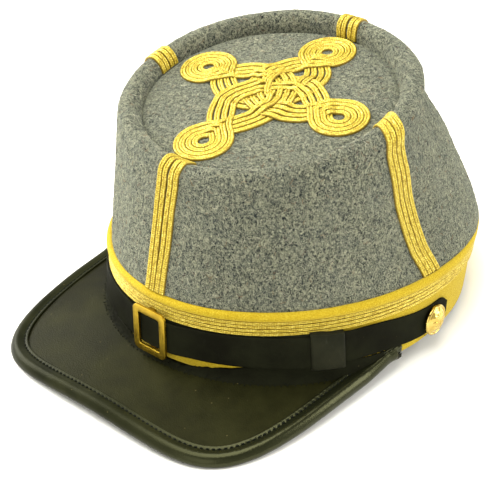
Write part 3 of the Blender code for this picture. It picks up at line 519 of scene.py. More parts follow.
def on_crown(angle, level, out):
    """Points over the crown, read from its grid, and the way that it faces there."""
    row = interp(level, CROWN_LEVELS, arange(len(CROWN_LEVELS)))
    column = np.mod(angle, 360) * CROWN_COLUMNS / 360
    r0 = clip(floor(row).astype(int), 0, len(CROWN_LEVELS) - 2)
    c0 = floor(column).astype(int) % CROWN_COLUMNS
    r, c = (row - r0)[..., None], (column - floor(column))[..., None]
    c1 = (c0 + 1) % CROWN_COLUMNS
    place, facing = (
        between(between(g[r0, c0], g[r0, c1], c), between(g[r0 + 1, c0], g[r0 + 1, c1], c), r)
        for g in (CROWN, CROWN_FACING)
    )
    facing = unit(facing)
    return place + facing * np.asarray(out)[..., None], facing


def top_wave(x, y):
    """How far the sunken top's wool stands off its plane."""
    return waves(points(x, y, 0.0), TOP_WAVES, 2)


TOP_FACING = on_top_plane(0.0, 0.0, 1.0) - on_top_plane(0.0, 0.0, 0.0)


def length_along(line):
    """How far along a line each of its points lies."""
    return concatenate([[0], np.cumsum(size_of(diff(line, axis=0)))])


def evenly(line, step, closed=False, carried=0):
    """The same line in equal steps of about this length; its last columns are only carried along."""
    if closed:
        line = np.vstack([line, line[:1]])
    lengths = length_along(line[:, : line.shape[1] - carried])
    count = max(2, round(lengths[-1] / step))
    wanted = linspace(0, lengths[-1], count, endpoint=not closed)
    return stack([interp(wanted, lengths, line[:, i]) for i in range(line.shape[1])], -1)


def along_line(line, closed=False):
    """The way that a line runs at each of its points."""
    if closed:
        return unit(roll(line, -1, axis=0) - roll(line, 1, axis=0))
    return unit(np.gradient(line, axis=0))


def evened(values, rounds, axis):
    """The values round a closed line, each drawn towards its neighbours a few times."""
    for _ in range(rounds):
        values = (roll(values, 1, axis) + 2 * values + roll(values, -1, axis)) / 4
    return values


# ---------------------------------------------------------------- meshes


def new_object(name, data):
    made = bpy.data.objects.new(name, data)
    bpy.context.scene.collection.objects.link(made)
    return made


class Shape:
    """Points and faces of one piece, gathered from skins over grids, closed tubes and strands."""

    def __init__(self):
        self.points, self.faces, self.threads, self.count = [], [], [], 0

    def add(self, places, threads=None):
        """Adds points, and gives the number of the first."""
        flat = np.asarray(places, float).reshape(-1, 3)
        given = zeros(flat.shape) if threads is None else np.asarray(threads, float).reshape(-1, 3)
        self.points.append(flat)
        self.threads.append(given)
        self.count += len(flat)
        return self.count - len(flat)

    def skin(self, index):
        """Faces between the neighbours of each grid of points, given by their numbers."""
        corners = (index[..., :-1, :-1], index[..., :-1, 1:], index[..., 1:, 1:], index[..., 1:, :-1])
        self.faces += stack(corners, -1).reshape(-1, 4).tolist()

    def closed(self, places, threads=None, rows_meet=True):
        """A skin over a grid whose last column meets its first, and so do its rows."""
        index = arange(places.size // 3).reshape(places.shape[:2]) + self.add(places, threads)
        if rows_meet:
            index = np.vstack([index, index[:1]])
        index = np.hstack([index, index[:, :1]])
        self.skin(index)
        return index

    def tube(self, sections, threads=None):
        """A closed tube through sections of equal length, capped at both ends."""
        index = self.closed(sections, threads, rows_meet=False)
        for ring in (index[0, :-1], index[-1, :-1]):
            around, thread = concatenate(self.points)[ring], concatenate(self.threads)[ring]
            middle = self.add(around.mean(axis=0), thread.mean(axis=0))
            self.faces += [[middle, int(a), int(b)] for a, b in zip(ring, roll(ring, -1))]

    def strand(self, line, facing, width, closed=False, seed=0):
        """A strand along a line, with its wound thread in low relief.

        Its thread values are the way along it in turns of the winding, the place across it from
        -1 to 1, and the strand's number.
        """
        along = along_line(line, closed)
        across = unit(np.cross(along, facing))
        up = unit(np.cross(across, along))
        turns = length_along(line)[:, None] / THREAD_PITCH
        if closed:
            turns *= round(turns[-1, 0]) / turns[-1, 0]
        side, rise = array(STRAND_SECTION).T
        winding = cos(2 * pi * (turns - THREAD_SLANT * abs(side)) + seed)
        lift = rise * (1 + THREAD_RELIEF * winding * (rise > 0.3)) * STRAND_HEIGHT
        spread = side * (1 + THREAD_SWELL * winding) * np.broadcast_to(width, len(line))[:, None] / 2
        places = line[:, None] + across[:, None] * spread[..., None] + up[:, None] * lift[..., None]
        skin = self.closed if closed else self.tube
        skin(places, points(turns, side, seed))

    def piece(self, name, material, slot, replaces=(), sharp=40):
        """Makes the object where the hat rests, and hides the nodes that it replaces; its slot is not
        used.
        """
        mesh = bpy.data.meshes.new(name)
        matrix = array(STAND)
        places = concatenate(self.points) @ matrix[:3, :3].T + matrix[:3, 3]
        mesh.from_pydata(places.tolist(), [], self.faces)
        thread = mesh.attributes.new("thread", "FLOAT_VECTOR", "POINT")
        thread.data.foreach_set("vector", concatenate(self.threads).astype(np.float32).ravel())
        bm = bmesh.new()
        bm.from_mesh(mesh)
        bmesh.ops.recalc_face_normals(bm, faces=bm.faces)
        bm.to_mesh(mesh)
        bm.free()
        mesh.materials.append(material)
        mesh.shade_smooth()
        mesh.set_sharp_from_angle(angle=radians(sharp))
        made = new_object(name, mesh)
        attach(made, "root")
        if replaces:
            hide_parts(*replaces)
        return made


def closed_piece(grid, *facts):
    """A piece that is one grid, closed both ways."""
    shape = Shape()
    shape.closed(grid)
    return shape.piece(*facts)


def tube_piece(sections, *facts):
    """A piece that is one capped tube."""
    shape = Shape()
    shape.tube(sections)
    return shape.piece(*facts)


# ---------------------------------------------------------------- materials


class Surface:
    """A material, and short ways to wire its nodes."""

    def __init__(self, name, **settings):
        self.material = bpy.data.materials.new(name)
        self.material.use_nodes = True
        self.tree = self.material.node_tree
        self.shader = self.tree.nodes["Principled BSDF"]
        self.finish(**settings)

    def feed(self, socket, value):
        """Gives a socket a node's output, a colour or a number."""
        if hasattr(value, "links"):
            self.tree.links.new(value, socket)
        elif socket.type == "RGBA":
            socket.default_value = (*value, 1)
        else:
            socket.default_value = value

    def node(self, kind, *values, **named):
        """A new node: values for its first sockets, then its sockets and settings by name."""
        made = self.tree.nodes.new("ShaderNode" + kind)
        for socket, value in zip(made.inputs, values):
            self.feed(socket, value)
        for name, value in named.items():
            if name in made.inputs:
                self.feed(made.inputs[name], value)
            else:
                setattr(made, name, value)
        return made

    def math(self, operation, *values):
        return self.node("Math", *values, operation=operation).outputs[0]

    def total(self, *terms):
        """The sum of values, each times its weight."""
        result = 0.0
        for value, weight in terms:
            result = self.math("MULTIPLY_ADD", value, weight, result)
        return result

    def place(self, turn=None, scale=(1, 1, 1), vector=None):
        """The object's coordinates or another vector, turned and scaled."""
        if vector is None:
            vector = self.node("TexCoord").outputs["Object"]
        if turn is None:
            return vector
        return self.node("Mapping", Vector=vector, Rotation=turn, Scale=scale).outputs["Vector"]

    def thread(self):
        """The three thread values of each point."""
        vector = self.node("Attribute", attribute_name="thread").outputs["Vector"]
        return self.node("SeparateXYZ", vector).outputs

    def noise(self, vector, scale, detail=3.0, roughness=0.55, output="Fac"):
        made = self.node("TexNoise", Vector=vector, Scale=scale, Detail=detail, Roughness=roughness)
        return made.outputs[output]

    def ramp(self, value, *stops):
        """A ramp of numbers or colours: each stop is a place and a value."""
        made = self.node("ValToRGB", value)
        elements = made.color_ramp.elements
        while len(elements) < len(stops):
            elements.new(0.5)
        for element, (place, colour) in zip(elements, stops):
            element.position = place
            element.color = (*colour, 1) if isinstance(colour, tuple) else (colour, colour, colour, 1)
        return made.outputs["Color"]

    def mix(self, share, one, other):
        made = self.node("Mix", data_type="RGBA")
        for number, value in ((0, share), (6, one), (7, other)):
            self.feed(made.inputs[number], value)
        return made.outputs[2]

    def finish(self, bump=None, **sockets):
        """Feeds the shader: a bump is a height, its strength and its depth."""
        if bump:
            height, strength, depth = bump
            made = self.node("Bump", Height=height, Strength=strength, Distance=depth)
            sockets["Normal"] = made.outputs["Normal"]
        for name, value in sockets.items():
            self.feed(self.shader.inputs[name.replace("_", " ")], value)
        return self.material


def make_wool():
    """Felted heather wool: curly pale and dark fibres over a mottled ground, with a soft nap."""
    s = Surface(
        "grey_wool", Roughness=0.95, Sheen_Weight=0.30, Sheen_Roughness=0.35,
        Sheen_Tint=(0.86, 0.92, 0.76), Specular_IOR_Level=0.12,
    )
    plain = s.place()
    curl = s.noise(plain, 450.0, 2.0, 0.5, "Color")
    bent = s.node("VectorMath", curl, WOOL_CURL, plain, operation="MULTIPLY_ADD").outputs[0]
    layers = [
        s.ramp(s.noise(s.place(turn, (1.0, 1.0, 0.16), bent), 3000.0, 1.0), (0.57, 0.0), (0.68, 1.0))
        for turn in WOOL_FIBRE_TURNS
    ]
    pale = s.math("MAXIMUM", s.math("MAXIMUM", layers[0], layers[1]), layers[2])
    dark = s.math("MAXIMUM", layers[3], layers[4])
    speckle = s.noise(bent, 1250.0, 3.0, 0.70)
    clump = s.noise(plain, 560.0, 3.0, 0.65)
    mottle = s.ramp(s.noise(plain, 85.0, 3.0, 0.6), (0.38, 0.0), (0.66, 0.30))
    base = s.ramp(s.total((clump, 0.46), (speckle, 0.54)), *WOOL_TONES)
    base = s.mix(mottle, base, (0.052, 0.070, 0.074))
    colour = s.mix(s.math("MULTIPLY", dark, 0.75), base, (0.016, 0.021, 0.028))
    colour = s.mix(s.math("MULTIPLY", pale, 0.62), colour, (0.45, 0.45, 0.32))
    return s.finish((s.total((pale, 0.7), (speckle, 1.0)), 0.85, 0.0005), Base_Color=colour)


def make_fibres(name, one, other, odd):
    """A single wool fibre's colour, a little different from fibre to fibre."""
    s = Surface(name, Roughness=0.8, Specular_IOR_Level=0.2)
    colour = s.ramp(s.thread()[0], (0.0, one), (0.90, other), (0.93, odd), (1.0, odd))
    patch = s.ramp(s.noise(s.place(), 700.0, 2.0), (0.4, 0.0), (0.7, 0.35))
    return s.finish(Base_Color=s.mix(patch, colour, one))


def make_felt():
    """Yellow wool felt, with a short nap and a little unevenness."""
    s = Surface(
        "yellow_felt", Roughness=0.92, Sheen_Weight=0.25, Sheen_Roughness=0.5,
        Sheen_Tint=(1.0, 0.92, 0.45), Specular_IOR_Level=0.12,
    )
    fine = s.noise(s.place(), 1700.0, 3.0, 0.75)
    patch = s.noise(s.place(), 200.0, 4.0, 0.65)
    colour = s.ramp(fine, *FELT_TONES)
    colour = s.mix(s.ramp(patch, (0.40, 0.0), (0.70, 0.35)), colour, (0.40, 0.270, 0.008))
    return s.finish((s.total((fine, 1.0), (patch, 0.8)), 0.70, 0.0004), Base_Color=colour)


def make_gold():
    """Gold thread laid slantwise over each strand's two cords, with painted glints and highlight, and
    painted shade in the grooves.
    """
    s = Surface("gold_braid", Metallic=0.30, Specular_IOR_Level=0.5)
    turns, side, strand = s.thread()

    def flecks(along, across, roughness):
        """Noise over the strand, drawn out along it or across."""
        x, y = s.math("MULTIPLY", turns, along), s.math("MULTIPLY", side, across)
        return s.noise(s.node("CombineXYZ", x, y, strand).outputs[0], 1.0, 2.0, roughness)

    away = s.math("ABSOLUTE", side)
    phase = s.math("FRACT", s.math("SUBTRACT", turns, s.math("MULTIPLY", away, THREAD_SLANT)))
    wound = s.math("MULTIPLY_ADD", s.math("SINE", s.math("MULTIPLY", phase, 2 * pi)), 0.5, 0.5)
    streak, glint = flecks(0.45, 5.0, 0.6), flecks(1.3, 2.6, 0.75)
    # Painted highlight: the winding, glint and streak noise brighten the colour where light would catch
    # the thread.
    colour = s.ramp(s.total((wound, 0.07), (glint, 0.50), (streak, 0.43)), *GOLD_TONES)
    # Painted shade: the colour darkens in the groove between the two cords and at the strand's edges.
    groove_shade = s.ramp(away, (0.0, 0.50), (0.20, 0.0), (0.70, 0.0), (0.92, 0.92))
    return s.finish(
        (s.total((wound, 0.35), (glint, 1.0), (streak, 1.0)), 0.50, 0.0002),
        Base_Color=s.mix(groove_shade, colour, (0.200, 0.128, 0.006)),
        Roughness=s.ramp(glint, (0.35, 0.58), (0.65, 0.38)),
    )


def make_leather(name, light, dark, roughness, specular, grain, depth, scuff_and_highlight_amount, polished=None):
    """Dyed leather with a fine grain, faint scuffs and a few specks of dust; on the keeper its lighter
    tones and scuffs are partly painted highlight.

    The last argument gives the places to the wearer's left between which it turns shinier, and its colour
    darker as painted shade.
    """
    s = Surface(name, Specular_Tint=(0.98, 1.0, 0.52))
    plain = s.place()
    cells = s.node("TexVoronoi", Vector=plain, Scale=grain).outputs["Distance"]
    pores = s.noise(plain, grain * 1.7, 3.0, 0.6)
    cloud = s.noise(plain, 42.0, 4.0, 0.6)
    colour = s.mix(s.ramp(cloud, (0.35, 0.0), (0.65, 1.0)), dark, light)
    # Lighter scuffed patches: wear, and on the keeper partly painted highlight.
    scuff_and_highlight_mask = s.noise(s.place((0.4, 0.2, 0.9), (1, 4, 1)), 130.0, 4.0, 0.7)
    pale = tuple(c * 2.4 + 0.02 for c in light)
    colour = s.mix(s.ramp(scuff_and_highlight_mask, (0.60, 0.0), (0.80, scuff_and_highlight_amount)), colour, pale)
    dust = s.node("TexVoronoi", Vector=plain, Scale=150.0).outputs["Distance"]
    colour = s.mix(s.ramp(dust, (0.030, 0.45), (0.045, 0.0)), colour, (0.24, 0.20, 0.09))
    rough = s.total((pores, 0.5), (cloud, 0.5))
    rough = s.ramp(rough, (0.35, roughness - 0.05), (0.65, roughness + 0.08))
    if polished:
        # Painted shade toward the wearer's left: the colour darkens there, and the leather also turns
        # glossier.
        shade_and_gloss = s.ramp(s.node("SeparateXYZ", plain).outputs[0], (polished[0], 0.0), (polished[1], 1.0))
        rough = s.math("MULTIPLY", rough, s.math("MULTIPLY_ADD", shade_and_gloss, -0.38, 1.0))
        colour = s.mix(shade_and_gloss, colour, dark)
        specular = s.math("MULTIPLY_ADD", shade_and_gloss, GLOSSY_SPAN_SPECULAR, specular)
    grain_height = s.total((cells, 0.9), (pores, 0.6))
    return s.finish(
        (grain_height, 0.30, depth), Base_Color=colour, Roughness=rough, Specular_IOR_Level=specular
    )


def make_brass(name, colour, worn, roughness, brushed):
    """Gilt brass, with hair-fine scratches and a slight cloudiness."""
    s = Surface(name, Metallic=1.0)
    cloud = s.noise(s.place(), 260.0, 4.0, 0.65)
    scratch = s.noise(s.place((0.2, 0.1, 0.35), (1, 1, brushed)), 900.0, 3.0, 0.6)
    tone = s.mix(s.ramp(cloud, (0.35, 0.0), (0.68, 1.0)), worn, colour)
    rough = s.total((scratch, 0.4), (cloud, 0.6))
    rough = s.ramp(rough, (0.35, roughness - 0.06), (0.65, roughness + 0.10))
    return s.finish((scratch, 0.12, 0.0001), Base_Color=tone, Roughness=rough)


def make_thread():
    """Black waxed sewing thread."""
    s = Surface("sewing_thread", Roughness=0.75, Specular_IOR_Level=0.10)
    twist = s.noise(s.place((0.5, 0.3, 0.2), (1, 1, 3)), 2600.0, 2.0)
    tone = s.ramp(twist, (0.35, (0.002, 0.003, 0.002)), (0.7, (0.008, 0.010, 0.007)))
    return s.finish((twist, 0.5, 0.0001), Base_Color=tone)


def make_floor_material():
    """A plain pale floor, hardly uneven."""
    s = Surface("pale_floor", Roughness=0.85, Specular_IOR_Level=0.1)
    tone = s.ramp(s.noise(s.place(), 30.0), (0.3, (0.92, 0.92, 0.915)), (0.7, (0.94, 0.94, 0.935)))
    return s.finish(Base_Color=tone)


WOOL = make_wool()
PALE_WOOL = make_fibres("pale_wool_fibre", (0.30, 0.30, 0.22), (0.62, 0.60, 0.46), (0.30, 0.16, 0.07))
DARK_WOOL = make_fibres("dark_wool_fibre", (0.010, 0.013, 0.020), (0.035, 0.045, 0.06), (0.1, 0.02, 0.02))
FELT = make_felt()
GOLD = make_gold()
VISOR_LEATHER, BINDING_LEATHER, KEEPER_WORN_HIGHLIT_LEATHER, STRAP_LEATHER = (make_leather(*row) for row in LEATHERS)
BRASS = make_brass("satin_brass", (0.50, 0.335, 0.030), (0.35, 0.225, 0.020), 0.32, 0.2)
GILT = make_brass("polished_brass", (0.78, 0.60, 0.18), (0.50, 0.34, 0.07), 0.13, 1.0)
THREAD = make_thread()

# ---------------------------------------------------------------- the pieces


def add_crown_side():
    """The wool wall and its roll, with the inner face and the edges turned in."""
    foot = band_sections(CROWN_ANGLES, CROWN_FOOT)
    turned_in = rim_point(CROWN_ANGLES, 0.0, -TOP_THICKNESS)[None]
    outer = concatenate([foot, CROWN, turned_in])
    rows = [*range(0, len(outer) - 1, 6), len(outer) - 1]
    inner = (outer - grid_normals(outer) * WOOL_THICKNESS)[rows]
    inner[-1] = rim_point(CROWN_ANGLES, -0.0020, -TOP_THICKNESS)
    inner[0, :, 2] = 0.0
    grid = concatenate([outer, inner[::-1]])
    made = closed_piece(grid, "crown_wool", WOOL, "grey_wool", ["crown_side"], 70)


def fibre_tubes(shape, starts, facing, chance):
    """Curly fibres that lie loosely on a face: thin tubes that start and end in it."""
    count = len(starts)
    aside = unit(np.cross(facing, chance.normal(size=(count, 3))))
    beside = np.cross(facing, aside)
    step = chance.uniform(*FIBRE_LENGTHS, count)[:, None] / (FIBRE_RINGS - 1)
    heading = zeros(count)
    bend = chance.normal(0, 0.35, count)
    place = starts.copy()
    middles = []
    for ring in range(FIBRE_RINGS):
        share = ring / (FIBRE_RINGS - 1)
        rise = sin(pi * share) * chance.uniform(0.5, 1.0, count) * FIBRE_LIFT
        middles.append(place + facing * (rise - FIBRE_SINK)[:, None])
        way = aside * cos(heading)[:, None] + beside * sin(heading)[:, None]
        place = place + way * step
        heading = heading + bend + chance.normal(0, 0.45, count)
    middles = array(middles)
    along = unit(np.gradient(middles, axis=0))
    first = unit(np.cross(along, facing[None]))[:, :, None]
    second = np.cross(first, along[:, :, None])
    turns = (arange(3) * 2 * pi / 3)[:, None]
    thin = array([0.4] + [1.0] * (FIBRE_RINGS - 2) + [0.4])[:, None, None, None]
    tubes = middles[:, :, None] + thin * FIBRE_THICKNESS / 2 * (first * cos(turns) + second * sin(turns))
    tubes = tubes.transpose(1, 0, 2, 3)
    tone = np.broadcast_to(chance.uniform(0, 1, count)[:, None, None, None], tubes.shape)
    index = arange(count * FIBRE_RINGS * 3).reshape(count, FIBRE_RINGS, 3) + shape.add(tubes, tone)
    shape.skin(concatenate([index, index[..., :1]], -1))
    shape.faces += index[:, 0, ::-1].tolist() + index[:, -1].tolist()


def add_fibres(name, material, count, seed):
    """Loose fibres over the crown and its sunken top."""
    chance = np.random.default_rng(seed)
    shape = Shape()
    on_side = round(count * FIBRES_ON_SIDE)
    on_top = count - on_side
    on_wall = chance.uniform(0, 1, on_side) < FIBRES_ON_WALL
    levels = np.where(on_wall, chance.uniform(0.03, 1, on_side), chance.uniform(1, 2.9, on_side))
    starts, facing = on_crown(chance.uniform(0, 360, on_side), levels, zeros(on_side))
    fibre_tubes(shape, starts, facing, chance)
    turn, share = chance.uniform(0, 2 * pi, on_top), sqrt(chance.uniform(0, 0.92, on_top))
    x, y = TOP_HALF_WIDTH * share * sin(turn), TOP_HALF_DEPTH * share * cos(turn)
    facing = np.broadcast_to(TOP_FACING, (on_top, 3))
    fibre_tubes(shape, on_top_plane(x, y, top_wave(x, y)), facing, chance)
    shape.piece(name, material, "grey_wool", sharp=80)


def add_crown_top():
    """The sunken top: a soft oval of wool with a turned edge."""
    angles = radians(round_angles(TOP_COLUMNS))
    shares = 1 - (1 - linspace(0.02, 1, TOP_RINGS)) ** 1.3  # the rings lie closer near the edge
    x = ((TOP_HALF_WIDTH - GAP) * shares)[:, None] * sin(angles)
    y = -((TOP_HALF_DEPTH - GAP) * shares)[:, None] * cos(angles)
    drop = TOP_EDGE_DROP * clip((shares - 0.95) / 0.05, 0, 1) ** 2
    upper = on_top_plane(x, y, top_wave(x, y) - drop[:, None])
    lower = on_top_plane(x[::-4], y[::-4], -TOP_THICKNESS)
    sections = concatenate([upper, lower])
    made = tube_piece(sections, "top_wool", WOOL, "grey_wool", ["crown_top"], 70)


def add_band():
    """The felt band with its puffed welt."""
    angles = round_angles(BAND_COLUMNS)
    sections = band_sections(angles, BAND_PROFILE)
    out, height = array(BAND_PROFILE).T[..., None]
    ripple = waves(sections, BAND_WAVES, 3) * (out > -0.0005) * minimum(1.0, height / 0.003)
    welt = (height > WELT_HEIGHT) & (out > -0.0012)
    moved = ripple + periodic(WELT_FULLNESS, angles) * welt
    sections = sections + outward_at(angles)[None] * moved[..., None]
    sections[..., 2] -= periodic(FOOT_DROP, angles) * clip(1 - sections[..., 2] / 0.008, 0, 1)
    made = closed_piece(sections, "band_felt", FELT, "yellow_felt", ["band"], 70)


def add_band_braid():
    """Four rows of braid round the band; each wanders a little."""
    pitch = (BAND_BRAID_HIGH - BAND_BRAID_LOW) / STRANDS
    shape = Shape()
    angles = round_angles(1440)
    for row in range(STRANDS):
        wander = waves(band_oval(angles, 0.0, 0.01 * row), BAND_BRAID_WANDER, 11 + row)
        height = BAND_BRAID_LOW + pitch * (row + 0.5) + wander
        line = evenly(band_oval(angles, BAND_BRAID_OUT, height), BRAID_STEP, closed=True)
        facing = unit(line * array([1.24, 1.0, 0.0]))
        shape.strand(line, facing, pitch * BAND_STRAND_SHARE, True, row * 1.7)
    shape.piece("band_braid_strands", GOLD, "gold_braid", ["band_braid"], 80)


def add_wall_braid(name, low_angle, high_angle, bow, middle_gap):
    """Four strands from under the welt up the wall and over the roll to the sunken top."""
    levels = concatenate([linspace(-0.03, 1, 240), linspace(1, 3, 160)[1:]])
    share = interp(levels, WALL_BRAID_LEVELS, linspace(0, 1, len(WALL_BRAID_LEVELS)))
    middle = between(low_angle, high_angle, share) + bow * sin(pi * share)
    gap = middle_gap * ease(share / 0.25)
    width = between(WALL_BRAID_WIDTH_LOW, WALL_BRAID_WIDTH_HIGH, share) - gap
    degree = size_of(on_crown(middle + 0.5, levels, 0.0)[0] - on_crown(middle - 0.5, levels, 0.0)[0])
    shape = Shape()
    for row in range(STRANDS):
        aside = width * ((row + 0.5) / STRANDS - 0.5) + gap / 2 * (1 if row >= STRANDS / 2 else -1)
        places = points(levels * 0.04, row * 0.02, high_angle * 0.01)
        aside = aside + waves(places, WALL_BRAID_WANDER, 5)
        place, facing = on_crown(middle + aside / degree, levels, WALL_BRAID_OUT)
        both = np.hstack([place, facing, width[:, None] / STRANDS])
        both = evenly(both, BRAID_STEP, carried=4)
        line, facing, strand_width = both[:, :3], unit(both[:, 3:6]), both[:, 6]
        shape.strand(line, facing, strand_width * WALL_STRAND_SHARE, seed=row * 1.3 + high_angle)
    shape.piece("braid_strands_" + name, GOLD, "gold_braid", ["braid_" + name], 80)


def turned(angle, x, y):
    """A flat point, turned."""
    turn = radians(angle)
    return (x * cos(turn) - y * sin(turn), x * sin(turn) + y * cos(turn))


def half_loop(angle, distance, side):
    """Points from a loop's far end round one side of it to its neck."""
    steps = radians(HALF_LOOP_ANGLES)
    round_loop = [
        turned(angle, distance + KNOT_LOOP_RADIUS * cos(step), side * KNOT_LOOP_RADIUS * sin(step))
        for step in steps
    ]
    return round_loop + [turned(angle, distance - KNOT_NECK, 0)]


def knot_control_points():
    """The ribbon's middle line, from each loop's far end to the next, and the number of each length."""
    line, lengths = [], []
    for index, (_, angle, distance) in enumerate(KNOT_LOOPS):
        _, next_angle, next_distance = KNOT_LOOPS[(index + 1) % len(KNOT_LOOPS)]
        bow = [(x / 1000, y / 1000) for x, y in KNOT_BOWS[index]]
        part = half_loop(angle, distance, 1) + bow + half_loop(next_angle, next_distance, -1)[:0:-1]
        line += part
        lengths += [index] * len(part)
    return array(line), array(lengths)


def smooth_closed(line, extra, per_span):
    """A smooth closed curve through the points, with their extra values held between them."""
    share = linspace(0, 1, per_span, endpoint=False)[:, None, None]
    before, after, last = roll(line, 1, axis=0), roll(line, -1, axis=0), roll(line, -2, axis=0)
    curve = 0.5 * (
        2 * line
        + (after - before) * share
        + (2 * before - 5 * line + 4 * after - last) * share**2
        + (3 * line - before - 3 * after + last) * share**3
    )
    return curve.transpose(1, 0, 2).reshape(-1, 2), np.repeat(extra, per_span)


def knot_strands():
    """The flat lines of the knot's strands, and which of its four lengths each point lies in."""
    line, length = smooth_closed(*knot_control_points(), 30)
    both = evenly(np.hstack([line, length[:, None]]), BRAID_STEP, closed=True, carried=1)
    middle, length = both[:, :2], np.round(both[:, 2]).astype(int) % len(KNOT_LOOPS)
    middle = evened(middle, 40, 0)
    along = along_line(middle, closed=True)
    across = stack([along[:, 1], -along[:, 0]], -1)
    away = np.min([size_of(middle - turned(angle, far, 0)) for _, angle, far in KNOT_LOOPS], axis=0)
    spread = 1 + KNOT_OPENING * ease((away - KNOT_OPENING_START) / KNOT_OPENING_FADE)
    strands = []
    for row in range(STRANDS):
        wander = waves(points(middle[:, 0], middle[:, 1], 0.03 * row), KNOT_WANDER, 7)
        aside = (row - (STRANDS - 1) / 2) * KNOT_PITCH * spread + wander
        strands.append(middle + across * aside[:, None])
    return strands, length


def flat_cross(one, other):
    return one[..., 0] * other[..., 1] - one[..., 1] * other[..., 0]


def find_crossings(strands, length):
    """Where strands cross: (upper strand, its point, lower strand, its point)."""
    step = 3
    starts = [line[::step] for line in strands]
    ways = [roll(line, -1, axis=0) - line for line in starts]
    count = len(starts[0])
    names = [name for name, _, _ in KNOT_LOOPS]
    found = []
    for a, b in ((a, b) for a in range(STRANDS) for b in range(a, STRANDS)):
        r, s = ways[a][:, None], ways[b][None]
        area = flat_cross(r, s)
        area = np.where(abs(area) < 1e-12, 1e-12, area)
        gap = starts[b][None] - starts[a][:, None]
        t, u = flat_cross(gap, s) / area, flat_cross(gap, r) / area
        for i, j in np.argwhere((t >= 0) & (t < 1) & (u >= 0) & (u < 1)):
            if abs(i - j) in (0, 1, count - 1) or (a == b and i > j):
                continue
            place = starts[a][i]
            ends = {names[length[i * step]]: (a, i * step), names[length[j * step]]: (b, j * step)}
            known = [row for row in KNOT_CROSSINGS if {row[2], row[3]} == set(ends)]
            if not known:
                continue
            x, y, first, second, inner, outer = min(
                known, key=lambda row: (row[0] - place[0]) ** 2 + (row[1] - place[1]) ** 2
            )
            upper, lower = ends[first], ends[second]
            if hypot(x, y) > KNOT_NECK_REACH:
                swapped = lower[0] > upper[0]
            else:
                swapped = upper[0] < STRANDS - inner and lower[0] >= outer
            found.append((*lower, *upper) if swapped else (*upper, *lower))
    return array(found)


def settle_heights(strands, crossings):
    """Lifts the upper strand and presses the lower one down at each crossing, and evens both out."""
    count = len(strands[0])
    heights = zeros((STRANDS, count))
    rows, places = crossings.T[::2, :, None], (crossings.T[1::2, :, None] + arange(-2, 3)) % count
    over, under = zip(rows, places)
    for _ in range(KNOT_ROUNDS):
        heights = evened(heights, 1, 1) - KNOT_SINK
        upper, lower = heights[over], heights[under]
        missing = maximum(0, lower.max(axis=1) + KNOT_CLEARANCE - upper.min(axis=1))[:, None] / 2
        maximum.at(heights, over, upper + missing)
        minimum.at(heights, under, lower - missing)
        heights = clip(heights, 0, KNOT_LIFT)
    return evened(heights, 4, 1)


def add_top_knot():
    """The knot's four strands, each one closed line that passes over and under the others."""
    strands, length = knot_strands()
    heights = settle_heights(strands, find_crossings(strands, length))
    shape = Shape()
    for row, ((x, y), height) in enumerate(zip((flat.T for flat in strands), heights)):
        line = on_top_plane(x, y, KNOT_BED + top_wave(x, y) + height)
        facing = np.broadcast_to(TOP_FACING, line.shape)
        shape.strand(line, facing, KNOT_STRAND_WIDTH, True, row * 2.1)
    shape.piece("knot_strands", GOLD, "gold_braid", ["top_knot"], 80)


def visor_height(place):
    """The height of the visor's upper face, which slopes from the foot of the band."""
    x, y = turned(-VISOR_TURN, place[..., 0] - VISOR_SIDE_SHIFT, place[..., 1])
    width, depth = BAND_FOOT_HALF_WIDTH - VISOR_SLOPE_START, BAND_FOOT_HALF_DEPTH - VISOR_SLOPE_START
    reach = hypot(x / width, y / depth)
    return -VISOR_GAP - VISOR_SLOPE * maximum(0.0, hypot(x, y) * (1 - 1 / reach))


def over_visor(angle, out, up=0.0):
    """Points over the visor's upper face, beside the foot of the band."""
    place = band_oval(angle, out, 0.0)[..., :2]
    return points(place[..., 0], place[..., 1], visor_height(place) + up)


def angle_of(place):
    return np.degrees(arctan2(place[..., 0], -place[..., 1]))


def beyond_band(place):
    """How far out from the foot of the band points lie."""
    return size_of(place) - size_of(band_oval(angle_of(place), 0.0, 0.0)[..., :2])


def visor_edge(inset, count):
    """Evenly spaced points of the visor's outer edge, moved in by inset."""
    turn = radians(linspace(-90, 90, 4001))
    side = abs(sin(turn)) ** (2 / VISOR_SQUARENESS) * np.sign(turn)
    forward = abs(cos(turn)) ** (2 / VISOR_SQUARENESS)
    half_width = VISOR_HALF_WIDTH + VISOR_END_FLARE * (1 - forward) ** 2 - inset
    x, y = turned(VISOR_TURN, half_width * side, (inset - VISOR_REACH) * forward)
    edge = stack([x + VISOR_SIDE_SHIFT, y], -1)[y < -VISOR_END_BACK]
    missing = maximum(0, VISOR_END_ROOM - inset - beyond_band(edge))
    edge = edge + outward_at(angle_of(edge))[:, :2] * missing[:, None]
    return evenly(edge, length_along(edge)[-1] / (count - 1))[:count]


def end_rise(edge):
    """How far the visor's edge is raised where its ends ride up the band."""
    return VISOR_END_RISE * ease((edge[..., 1] - VISOR_RISE_START) / VISOR_RISE_LENGTH)


